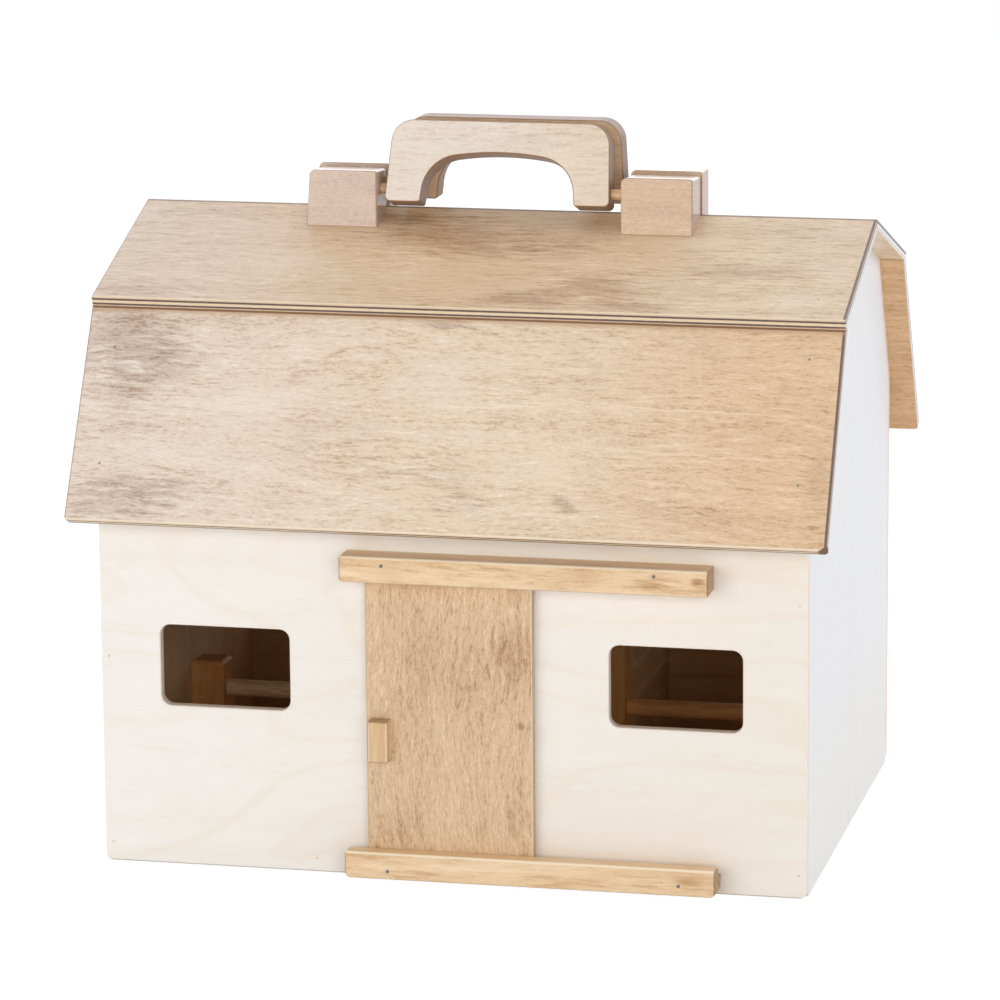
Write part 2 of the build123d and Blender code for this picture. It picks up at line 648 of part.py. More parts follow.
def main():
    """Writes one STEP file per node and prints the figures that the record needs."""
    os.makedirs("parts", exist_ok=True)
    for name, part in barn().items():
        solids = [Pos(CENTRING, 0, 0) * solid for solid in part.solids()]
        export_step(solids[0] if len(solids) == 1 else group(solids), f"parts/{name}.step")
    upright_to_roof = 90 + UPPER_SLOPE + fold_beyond_roof_line()
    print(f"x is shifted by {CENTRING:.3f} mm; hinge axis at x = {HINGE_AXIS_X + CENTRING:.3f} mm")
    print(f"handles turn {upright_to_roof:.1f} degrees from upright to the roof")


main()
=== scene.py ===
"""A wooden toy barn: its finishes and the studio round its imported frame.

Every length is in metres and every place is in the barn's own frame: X runs along the ridge from
the hinged gable to the far one, the front faces -Y, and Z is up from the table.
"""

import logging
import math
from dataclasses import dataclass, replace
from enum import Enum
from typing import Mapping, Sequence

import bpy
from mathutils import Matrix, Vector


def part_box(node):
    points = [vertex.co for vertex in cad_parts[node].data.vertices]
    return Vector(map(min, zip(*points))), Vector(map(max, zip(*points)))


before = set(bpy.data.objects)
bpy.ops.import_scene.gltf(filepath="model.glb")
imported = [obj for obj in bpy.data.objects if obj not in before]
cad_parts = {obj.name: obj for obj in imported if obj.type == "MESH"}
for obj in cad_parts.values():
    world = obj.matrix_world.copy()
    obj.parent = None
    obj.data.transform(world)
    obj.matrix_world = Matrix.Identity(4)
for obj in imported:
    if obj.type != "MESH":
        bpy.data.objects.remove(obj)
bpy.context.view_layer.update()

LOG = logging.getLogger("barn")
MILLIMETRE = 0.001
Colour = tuple[float, float, float]
Socket = bpy.types.NodeSocket


# ---- colour and node helpers --------------------------------------------------------------------
def linear(red: float, green: float, blue: float) -> Colour:
    """Turns an 8-bit display colour into the linear values that shaders use.

    Args:
        red: Red, 0 to 255.
        green: Green, 0 to 255.
        blue: Blue, 0 to 255.

    Returns:
        The linear red, green and blue, 0 to 1.
    """

    def channel(value: float) -> float:
        """One channel's linear value."""
        part = value / 255.0
        return part / 12.92 if part <= 0.04045 else ((part + 0.055) / 1.055) ** 2.4

    return channel(red), channel(green), channel(blue)


def ratio(upper: Colour, lower: Colour) -> Colour:
    """Works out the linear tint that turns the lower display colour into the upper one."""
    red, green, blue = (a / b for a, b in zip(linear(*upper), linear(*lower)))
    return red, green, blue


class Blend(Enum):
    """The ways in which one colour is laid over another."""

    MIX = "MIX"
    MULTIPLY = "MULTIPLY"


class Axis(Enum):
    """An axis of the barn, with its place in a vector."""

    X = 0
    Y = 1
    Z = 2

    @property
    def way(self) -> Vector:
        """The unit vector along the axis."""
        return Vector([float(index == self.value) for index in range(3)])


class Graph:
    """The node tree of a material or of the world, built from inputs to surface by small named steps."""

    def __init__(self, owner: bpy.types.Material | bpy.types.World) -> None:
        """Starts with the owner's tree emptied.

        Args:
            owner: The material or the world.
        """
        owner.use_nodes = True
        self.tree = owner.node_tree
        self.tree.nodes.clear()

    def feed(self, target: Socket, value: object) -> None:
        """Links a socket to an input, or sets a plain value on it.

        Args:
            target: The input to feed.
            value: Another socket, a number, a vector or a colour.
        """
        if isinstance(value, bpy.types.NodeSocket):
            self.tree.links.new(value, target)
        elif isinstance(target, bpy.types.NodeSocketColor):
            target.default_value = (*value, 1.0)
        else:
            target.default_value = value

    def node(self, kind: str, inputs: Mapping[int | str, object] | None = None,
             **settings: object) -> bpy.types.Node:
        """Adds a node.

        Args:
            kind: The node's type name.
            inputs: What its inputs get, each by its number or name.
            **settings: Attributes to set on it.

        Returns:
            The new node.
        """
        made = self.tree.nodes.new(kind)
        for key, value in settings.items():
            setattr(made, key, value)
        for key, value in (inputs or {}).items():
            self.feed(made.inputs[key], value)
        return made

    def maths(self, operation: str, *values: object) -> Socket:
        """Does one sum on numbers or sockets."""
        return self.node("ShaderNodeMath", dict(enumerate(values)), operation=operation).outputs[0]

    def scaled(self, vector: Socket, factors: Sequence[float]) -> Socket:
        """Multiplies a vector by a factor on each axis."""
        return self.node("ShaderNodeVectorMath", {0: vector, 1: factors}, operation="MULTIPLY").outputs[0]

    def split(self, vector: Socket) -> Sequence[Socket]:
        """Takes a vector apart into its three numbers."""
        return tuple(self.node("ShaderNodeSeparateXYZ", {0: vector}).outputs)

    def join(self, *parts: Socket) -> Socket:
        """Puts three numbers together as a vector."""
        return self.node("ShaderNodeCombineXYZ", dict(enumerate(parts))).outputs[0]

    def barn_place(self) -> Socket:
        """Reads a point's place in the barn, in millimetres."""
        return self.scaled(self.node("ShaderNodeTexCoord").outputs["Object"], (1 / MILLIMETRE,) * 3)

    def pattern(self, place: Socket, size: Sequence[float], detail: float,
                roughness: float = 0.5) -> Socket:
        """Smooth noise whose features have a size of their own on each axis.

        Args:
            place: Where to read it.
            size: The features' size on each axis, endless where they don't change along it.
            detail: Octaves of finer detail.
            roughness: How strong the finer octaves are.

        Returns:
            A value near 0 to 1, centred on a half.
        """
        where = self.scaled(place, tuple(1 / length for length in size))
        inputs = {"Vector": where, "Scale": 1.0, "Detail": detail, "Roughness": roughness}
        return self.node("ShaderNodeTexNoise", inputs, noise_dimensions="3D").outputs[0]

    def step(self, value: Socket, low: float, high: float) -> Socket:
        """Rises smoothly from 0 at one value to 1 at another.

        Args:
            value: The number to read.
            low: Where the rise starts.
            high: Where it ends; below low, the step falls instead.

        Returns:
            0 to 1.
        """
        (start, first), (end, last) = sorted(((low, 0.0), (high, 1.0)))
        inputs = {"Value": value, "From Min": start, "From Max": end, "To Min": first, "To Max": last}
        return self.node("ShaderNodeMapRange", inputs, interpolation_type="SMOOTHSTEP").outputs[0]

    def mix(self, amount: object, under: object, over: object, mode: Blend = Blend.MIX) -> Socket:
        """Lays one colour over another, as much as the amount says from 0 to 1."""
        inputs = {0: amount, 6: under, 7: over}
        return self.node("ShaderNodeMix", inputs, data_type="RGBA", blend_type=mode.value).outputs[2]

    def bump(self, height: Socket, depth: float, strength: float) -> Socket:
        """Turns a height into a normal, where a height of 1 stands for a depth in metres."""
        inputs = {"Height": height, "Distance": depth, "Strength": strength}
        return self.node("ShaderNodeBump", inputs).outputs[0]

    def surface(self, colour: object, roughness: object, normal: Socket, **levels: float) -> None:
        """Ends the tree in a Principled surface.

        Args:
            colour: The base colour.
            roughness: The roughness.
            normal: The shading normal.
            **levels: Plain numbers for other inputs, with underscores for spaces.
        """
        inputs = {"Base Color": colour, "Roughness": roughness, "Normal": normal}
        inputs |= {key.replace("_", " "): value for key, value in levels.items()}
        shader = self.node("ShaderNodeBsdfPrincipled", inputs)
        self.node("ShaderNodeOutputMaterial", {"Surface": shader.outputs[0]})


@dataclass(frozen=True)
class Board:
    """How a board's wood lies in the barn.

    Attributes:
        origin: The middle of the board.
        along: The direction of its grain.
        across: The direction across the grain, in its face.
        length: Its size along the grain.
        width: Its size across the grain.
        thickness: Its thickness.
    """

    origin: Vector
    along: Vector
    across: Vector
    length: float
    width: float
    thickness: float


class BoardGraph(Graph):
    """The node tree of one board's material, which knows each point's place in the board.

    Attributes:
        material: The material.
        half_length: Half the board's size along the grain, in millimetres.
        half_width: Half its size across the grain.
        half_thickness: Half its thickness.
        place: A point's distances along, across and through the board from its middle, in millimetres.
        along: The first of them.
        across: The second.
        through: The third.
    """

    def __init__(self, name: str, board: Board) -> None:
        """Starts the material.

        Args:
            name: Its name.
            board: How the board lies.
        """
        self.material = bpy.data.materials.new(name)
        super().__init__(self.material)
        self.half_length, self.half_width, self.half_thickness = (
            size / MILLIMETRE / 2 for size in (board.length, board.width, board.thickness))
        turn = Matrix((board.along, board.across, board.along.cross(board.across)))
        mapping = self.node("ShaderNodeMapping", {
            "Vector": self.node("ShaderNodeTexCoord").outputs["Object"], "Location": board.origin,
            "Rotation": turn.transposed().to_euler(), "Scale": (MILLIMETRE,) * 3}, vector_type="TEXTURE")
        self.place = mapping.outputs[0]
        self.along, self.across, self.through = self.split(self.place)

    def depth(self) -> Socket:
        """Says how far a point lies under the nearer face, in millimetres."""
        return self.maths("SUBTRACT", self.half_thickness, self.maths("ABSOLUTE", self.through))

    def at_ends(self, start: float, full: float) -> Socket:
        """Marks the two ends, from 0 where the mark starts to 1 where it is full, in millimetres."""
        reach = self.maths("ABSOLUTE", self.along)
        return self.step(reach, self.half_length - start, self.half_length - full)


# ---- wood ---------------------------------------------------------------------------------------
# Sizes of patterns, in millimetres along, across and through a board, or on metal along X, Y and Z.
DRIFT = (150.0, 70.0, 60.0)
RIPPLE = (12.0, 8.0, 8.0)
GROWTH_RING = (240.0, 75.0, 75.0)
LINE_WAVER = (16.0, 10.0, math.inf)
END_RING = (math.inf, 2.2, 0.8)
PLY_WANDER = (4.0, 4.0, 1.2)
PLY_FLECK = (1.1, 1.1, 0.4)
TARNISH = (11.0, 11.0, 11.0)
SCRATCH = (0.5, 0.5, 14.0)
FILLER_GRIT = (1.0, 1.0, 1.0)

# Lengths and widths of streaks, in millimetres.
PORE = (1.7, 0.9)
LONG_FIBRE = (20.0, 2.6)
BAND = (170.0, 13.0)
SOAKED_PATCH = (62.0, 36.0)
LINING_FIBRE = (60.0, 2.4)
LINING_BAND = (240.0, 15.0)

# Other lengths, in millimetres: the step between seeds, the reliefs, and how far plies and lines stray.
SEED_STRIDE = 310.0
GRAIN_RELIEF = 0.06
FILLER_RELIEF = 0.05
METAL_RELIEF = 0.01
LINE_WAVER_REACH = 3.0
PLY_WANDER_REACH = 0.28

# Where a value's smooth steps start and end.
DEEP_TONES = (0.12, 0.52)
PALE_TONES = (0.48, 0.92)
SOAKED_SHARE = (0.02, 0.30)
MARK_SIDE = (1.45, 0.1)
RING_SIDE = (0.16, 0.0)
LINE_SIDE = (0.95, 0.2)
LINE_TIP = (1.0, 0.6)
END_GRAIN = (0.35, 0.65)
PLY_FLECKS = (0.48, 0.75)
LINING_STREAKS = (-0.15, 0.4)
CUT_FACE = (-1.06, -0.98)
TARNISHED = (0.4, 0.9)
FILLER_MIDDLE = (0.4, 0.65)

# How much one thing adds to another.
FIBRES_IN_SOAK = 0.35
FIBRES_IN_MARK = 1.5
PLAIN_CONTRAST = 0.65
SOAKED_CONTRAST = 0.4
RELIEF_ROUGHNESS = -0.08
SCRATCHES_IN_WEAR = 0.25
WEAR_ROUGHNESS = 0.16
CUT_ROUGHNESS = 0.15

# How strongly things show, 0 to 1.
LINE_SHOWN = 0.55
ARRIS_SHOWN = 0.85
END_SHOWN = 0.85
SIDE_SHOWN = 0.45
FLECK_SHOWN = 0.45
LINING_SHOWN = 0.6

# What the darkest streaks of an inner face multiply its colour by.
LINING_SHADE = (0.78, 0.69, 0.6)


@dataclass(frozen=True)
class Mark:
    """A knot, or a patch where the stain has soaked in.

    Attributes:
        along: Its middle along the grain from the board's middle, in millimetres.
        across: Its middle across the grain, in millimetres.
        length: Its size along the grain, in millimetres.
        width: Its size across the grain, in millimetres.
        depth: How dark it is, 0 to 1, or how pale below 0.
    """

    along: float
    across: float
    length: float
    width: float
    depth: float


@dataclass(frozen=True)
class PaleLine:
    """A long pale line of figure, nearly along the grain.

    Attributes:
        start: One end along the grain, in millimetres from the board's middle.
        end: The other end.
        across: Its distance across the grain half-way, in millimetres.
        tilt: Its rise across the grain for each millimetre along.
        bow: How far its ends rise above the straight line, in millimetres.
    """

    start: float
    end: float
    across: float
    tilt: float = 0.0
    bow: float = 0.0


@dataclass(frozen=True)
class Wood:
    """A wood and its stain, as it shows on the face of a board.

    Attributes:
        pale: Display colour of the palest fibres.
        main: Display colour of most of it.
        deep: Display colour of the darkest fibres.
        soaked: Display colour where the stain has soaked in.
        line: Display colour of the broad figure lines.
        fine: Contrast of the short fine fibres.
        pores: How much of that contrast the pores add.
        middling: Contrast of the longer fibres.
        wide: Contrast of the broad bands.
        blotch: How strongly the soaked patches show, 0 to 1.
        figure: How strongly the figure lines show, 0 to 1.
        figure_count: How many figure lines the pattern packs in.
        wander: How far the grain strays from straight, in millimetres.
        curl: How far the fibres ripple, in millimetres.
        fibre: Length and width of a fine fibre, in millimetres.
        coat: Weight of the lacquer's clear coat.
        coat_roughness: Its roughness.
        roughness: The wood's own roughness.
        specular: How much of its own surface shines under the lacquer.
        seed: Which part of the pattern is used.
    """

    pale: Colour
    main: Colour
    deep: Colour
    soaked: Colour
    line: Colour
    fine: float = 1.2
    pores: float = 0.6
    middling: float = 0.8
    wide: float = 0.5
    blotch: float = 0.5
    figure: float = 0.3
    figure_count: float = 7.0
    wander: float = 9.0
    curl: float = 1.3
    fibre: tuple[float, float] = (5.5, 0.85)
    coat: float = 0.5
    coat_roughness: float = 0.2
    roughness: float = 0.55
    specular: float = 0.25
    seed: float = 0.0

    def bend(self, graph: BoardGraph) -> tuple[Socket, Socket, Socket]:
        """Bends a place in the board so that straight streaks follow rippling grain.

        Args:
            graph: The board's material.

        Returns:
            The distances along, across and through the bent grain.
        """
        shifted = graph.maths("ADD", graph.along, self.seed * SEED_STRIDE)
        moved = graph.join(shifted, graph.across, graph.through)
        drift = graph.pattern(moved, DRIFT, detail=1.0)
        ripple = graph.pattern(moved, RIPPLE, detail=1.0)
        bent = graph.across
        for wave, reach in ((drift, self.wander), (ripple, self.curl)):
            bent = graph.maths("MULTIPLY_ADD", graph.maths("SUBTRACT", wave, 0.5), 2 * reach, bent)
        return shifted, bent, graph.through

    def streaks(self, graph: BoardGraph, grain: Sequence[Socket], size: tuple[float, float],
                detail: float) -> Socket:
        """Noise drawn out along the grain.

        Args:
            graph: The board's material.
            grain: The bent place.
            size: A streak's length and width, in millimetres.
            detail: Octaves of finer detail.

        Returns:
            The noise, about -0.5 to 0.5.
        """
        length, width = size
        streak = graph.pattern(graph.join(*grain), (length, width, width), detail, roughness=0.55)
        return graph.maths("SUBTRACT", streak, 0.5)

    def marked(self, graph: BoardGraph, ragged: Socket, soaked: Socket,
               marks: Sequence[Mark]) -> Socket:
        """Adds named marks to the soaked patches.

        Args:
            graph: The board's material.
            ragged: Noise that roughens the marks' outlines.
            soaked: How soaked the wood already is, 0 to 1.
            marks: The marks.

        Returns:
            How soaked the wood is with the marks, or how washed out below 0.
        """
        for mark in marks:
            inside = graph.node("ShaderNodeVectorMath", {
                0: graph.place, 1: (2 / mark.length, 2 / mark.width, 0.0),
                2: (-2 * mark.along / mark.length, -2 * mark.across / mark.width, 0.0)},
                operation="MULTIPLY_ADD").outputs[0]
            length = graph.node("ShaderNodeVectorMath", {0: inside}, operation="LENGTH")
            reach = graph.maths("MULTIPLY_ADD", ragged, FIBRES_IN_MARK, length.outputs["Value"])
            soaked = graph.maths("MULTIPLY_ADD", graph.step(reach, *MARK_SIDE), mark.depth, soaked)
        return soaked

    def lined(self, graph: BoardGraph, colour: Socket, lines: Sequence[PaleLine]) -> Socket:
        """Draws named pale lines on the wood.

        Args:
            graph: The board's material.
            colour: The wood's colour.
            lines: The lines.

        Returns:
            The colour with the lines.
        """
        waver = graph.pattern(graph.place, LINE_WAVER, detail=2.0)
        for line in lines:
            middle, half = (line.start + line.end) / 2, (line.end - line.start) / 2
            reach = graph.maths("MULTIPLY_ADD", graph.along, 1 / half, -middle / half)
            rise = graph.maths("MULTIPLY", graph.maths("MULTIPLY", reach, reach), line.bow)
            rise = graph.maths("MULTIPLY_ADD", reach, line.tilt * half, rise)
            rise = graph.maths("MULTIPLY_ADD", waver, LINE_WAVER_REACH, rise)
            level = line.across - LINE_WAVER_REACH / 2
            off = graph.maths("SUBTRACT", graph.maths("SUBTRACT", graph.across, rise), level)
            shown = graph.step(graph.maths("ABSOLUTE", off), *LINE_SIDE)
            ends = graph.step(graph.maths("ABSOLUTE", reach), *LINE_TIP)
            amount = graph.maths("MULTIPLY", graph.maths("MULTIPLY", shown, ends), LINE_SHOWN)
            colour = graph.mix(amount, colour, linear(*self.pale))
        return colour

    def ringed(self, graph: BoardGraph, grain: Sequence[Socket], colour: Socket) -> Socket:
        """Draws the figure lines, where the growth rings come up through the face.

        Args:
            graph: The board's material.
            grain: The bent place.
            colour: The wood's colour.

        Returns:
            The colour with the figure.
        """
        rings = graph.pattern(graph.join(*grain), GROWTH_RING, detail=1.0)
        ring = graph.maths("FRACT", graph.maths("MULTIPLY", rings, self.figure_count))
        ring = graph.maths("ABSOLUTE", graph.maths("SUBTRACT", ring, 0.5))
        ring = graph.maths("MULTIPLY", graph.step(ring, *RING_SIDE), self.figure)
        return graph.mix(ring, colour, linear(*self.line))

    def shaded(self, graph: BoardGraph, tone: Socket, soaked: Socket, washed: Socket) -> Socket:
        """Turns the grain's tone into the stain's colours.

        Args:
            graph: The board's material.
            tone: How pale the fibres are, with a half for most of them.
            soaked: How far the stain has soaked in, 0 to 1.
            washed: How far it has washed out, 0 to 1.

        Returns:
            The colour.
        """
        colour = graph.mix(graph.step(tone, *DEEP_TONES), linear(*self.deep), linear(*self.main))
        colour = graph.mix(graph.step(tone, *PALE_TONES), colour, linear(*self.pale))
        colour = graph.mix(soaked, colour, ratio(self.soaked, self.main), Blend.MULTIPLY)
        return graph.mix(washed, colour, linear(*self.pale))

    def face(self, graph: BoardGraph, marks: Sequence[Mark] = (),
             lines: Sequence[PaleLine] = ()) -> tuple[Socket, Socket]:
        """Builds the wood's colour and relief.

        Args:
            graph: The board's material.
            marks: Knots and soaked patches at named places.
            lines: Pale lines at named places.

        Returns:
            The colour, and a height from 0 to 1.
        """
        grain = self.bend(graph)
        fibres, pores, middling, wide, soak = (
            self.streaks(graph, grain, size, detail) for size, detail in (
                (self.fibre, 1.5), (PORE, 1.0), (LONG_FIBRE, 2.0), (BAND, 1.0), (SOAKED_PATCH, 3.0)))
        fine = graph.maths("MULTIPLY_ADD", pores, self.pores, fibres)
        soak = graph.maths("MULTIPLY_ADD", middling, FIBRES_IN_SOAK, soak)
        soaked = graph.maths("MULTIPLY", graph.step(soak, *SOAKED_SHARE), self.blotch)
        soaked = self.marked(graph, middling, soaked, marks)
        washed = graph.step(soaked, 0.0, -1.0)
        soaked = graph.step(soaked, 0.0, 1.0)
        contrast = graph.maths(
            "MULTIPLY_ADD", soaked, SOAKED_CONTRAST * self.fine, PLAIN_CONTRAST * self.fine)
        tone = graph.maths("MULTIPLY_ADD", fine, contrast, 0.5)
        tone = graph.maths("MULTIPLY_ADD", middling, self.middling, tone)
        tone = graph.maths("MULTIPLY_ADD", wide, self.wide, tone)
        colour = self.shaded(graph, tone, soaked, washed)
        colour = self.ringed(graph, grain, colour)
        return self.lined(graph, colour, lines), graph.maths("ADD", fine, 0.5)

    def surface(self, graph: BoardGraph, colour: Socket, height: Socket, rough: Socket) -> None:
        """Ends a material in this wood under its lacquer.

        Args:
            graph: The board's material.
            colour: The colour of every point.
            height: The relief, 0 to 1.
            rough: What is added to the wood's own roughness.
        """
        roughness = graph.maths("MULTIPLY_ADD", height, RELIEF_ROUGHNESS, self.roughness)
        roughness = graph.maths("ADD", roughness, rough)
        normal = graph.bump(height, GRAIN_RELIEF * MILLIMETRE, 0.3)
        graph.surface(colour, roughness, normal, Specular_IOR_Level=self.specular,
                      Coat_Weight=self.coat, Coat_Roughness=self.coat_roughness)


@dataclass(frozen=True)
class PaintedLightFade:
    """Painted light and shade along a board, as a tint on its main colour that changes from end to end.

    Attributes:
        low: Its display colour at the low end.
        middle: Its display colour in the middle.
        high: Its display colour at the high end.
        turn: Where the middle lies, from 0 at the low end to 1 at the high end.
    """

    low: Colour
    middle: Colour
    high: Colour
    turn: float = 0.5

    def over(self, graph: BoardGraph, wood: Wood, colour: Socket) -> Socket:
        """Paints the light and shade along the board as a tint on a colour.

        Args:
            graph: The board's material.
            wood: The wood, whose main colour is the one that changes.
            colour: The colour to tint.

        Returns:
            The tinted colour.
        """
        low, middle, high = (ratio(shade, wood.main) for shade in (self.low, self.middle, self.high))
        half = graph.half_length
        turn = half * (2 * self.turn - 1)
        tint = graph.mix(graph.step(graph.along, -half, turn), low, middle)
        tint = graph.mix(graph.step(graph.along, turn, half), tint, high)
        return graph.mix(1.0, colour, tint, Blend.MULTIPLY)


@dataclass(frozen=True)
class Rim:
    """A line of other colour along one side of a sheet's face.

    Attributes:
        width: Its width, in millimetres.
        colour: Its display colour.
        depth: How strongly it shows, 0 to 1.
        sharpness: Where it reaches its full depth, from 0 at the board's side to 1.
    """

    width: float
    colour: Colour
    depth: float = 0.9
    sharpness: float = 0.7

    def over(self, graph: BoardGraph, distance: Socket, edge: float, colour: Socket) -> Socket:
        """Lays the line over a colour, where the distance towards its side nears that side's edge."""
        near = graph.step(distance, edge - self.width, edge - self.sharpness * self.width)
        return graph.mix(graph.maths("MULTIPLY", near, self.depth), colour, linear(*self.colour))


@dataclass(frozen=True)
class Rims:
    """The lines along a sheet's four sides, as they lie on its board.

    Attributes:
        low_end: At the low end of the grain.
        high_end: At the high end of the grain.
        low_side: At the low side across the grain.
        high_side: At the high side across the grain.
    """

    low_end: tuple[Rim, ...] = ()
    high_end: tuple[Rim, ...] = ()
    low_side: tuple[Rim, ...] = ()
    high_side: tuple[Rim, ...] = ()

    def over(self, graph: BoardGraph, colour: Socket) -> Socket:
        """Lays the lines over a colour.

        Args:
            graph: The board's material.
            colour: The colour underneath.

        Returns:
            The colour with the lines.
        """
        length, width = (graph.along, graph.half_length), (graph.across, graph.half_width)
        for rims, (distance, edge), sign in (
                (self.low_end, length, -1.0), (self.high_end, length, 1.0),
                (self.low_side, width, -1.0), (self.high_side, width, 1.0)):
            for rim in rims:
                colour = rim.over(graph, graph.maths("MULTIPLY", distance, sign), edge, colour)
        return colour


@dataclass(frozen=True)
class SolidFinish:
    """A sawn and sanded stick of wood.

    Attributes:
        wood: Its face.
        end: Display colour of its end grain.
        side: Display colour that its narrow sides lean to.
        arris: Display colour of the rounded edges round its face; where pale, a painted highlight.
        ease: The radius of those edges, in millimetres.
        rims: Lines along the sides of its face.
    """

    wood: Wood
    end: Colour
    side: Colour
    arris: Colour
    ease: float = 0.8
    rims: Rims = Rims()

    def material(self, name: str, board: Board, marks: Sequence[Mark] = ()) -> bpy.types.Material:
        """Builds the finish for one stick.

        Args:
            name: The material's name.
            board: How the stick's wood lies.
            marks: Knots and soaked patches.

        Returns:
            The material.
        """
        graph = BoardGraph(name, board)
        colour, height = self.wood.face(graph, marks)
        depth = graph.depth()
        off_face = graph.step(depth, 0.02, 0.3 * self.ease)
        off_arris = graph.step(depth, 0.8 * self.ease, 1.2 * self.ease)
        arris = graph.maths("MULTIPLY", off_face, graph.maths("SUBTRACT", 1.0, off_arris))
        side = graph.mix(SIDE_SHOWN, colour, linear(*self.side))
        # The arris colour: on the pine sticks a painted highlight along the rounded edges.
        colour = graph.mix(graph.maths("MULTIPLY", arris, ARRIS_SHOWN), colour, linear(*self.arris))
        colour = graph.mix(off_arris, self.rims.over(graph, colour), side)
        at_end = graph.at_ends(0.9 * self.ease, 0.2 * self.ease)
        rings = graph.pattern(graph.place, END_RING, detail=3.0)
        end = graph.mix(graph.step(rings, *END_GRAIN), linear(*self.end), linear(*self.wood.soaked))
        colour = graph.mix(graph.maths("MULTIPLY", at_end, END_SHOWN), colour, end)
        self.wood.surface(graph, colour, height, graph.maths("MULTIPLY", at_end, CUT_ROUGHNESS))
        return graph.material


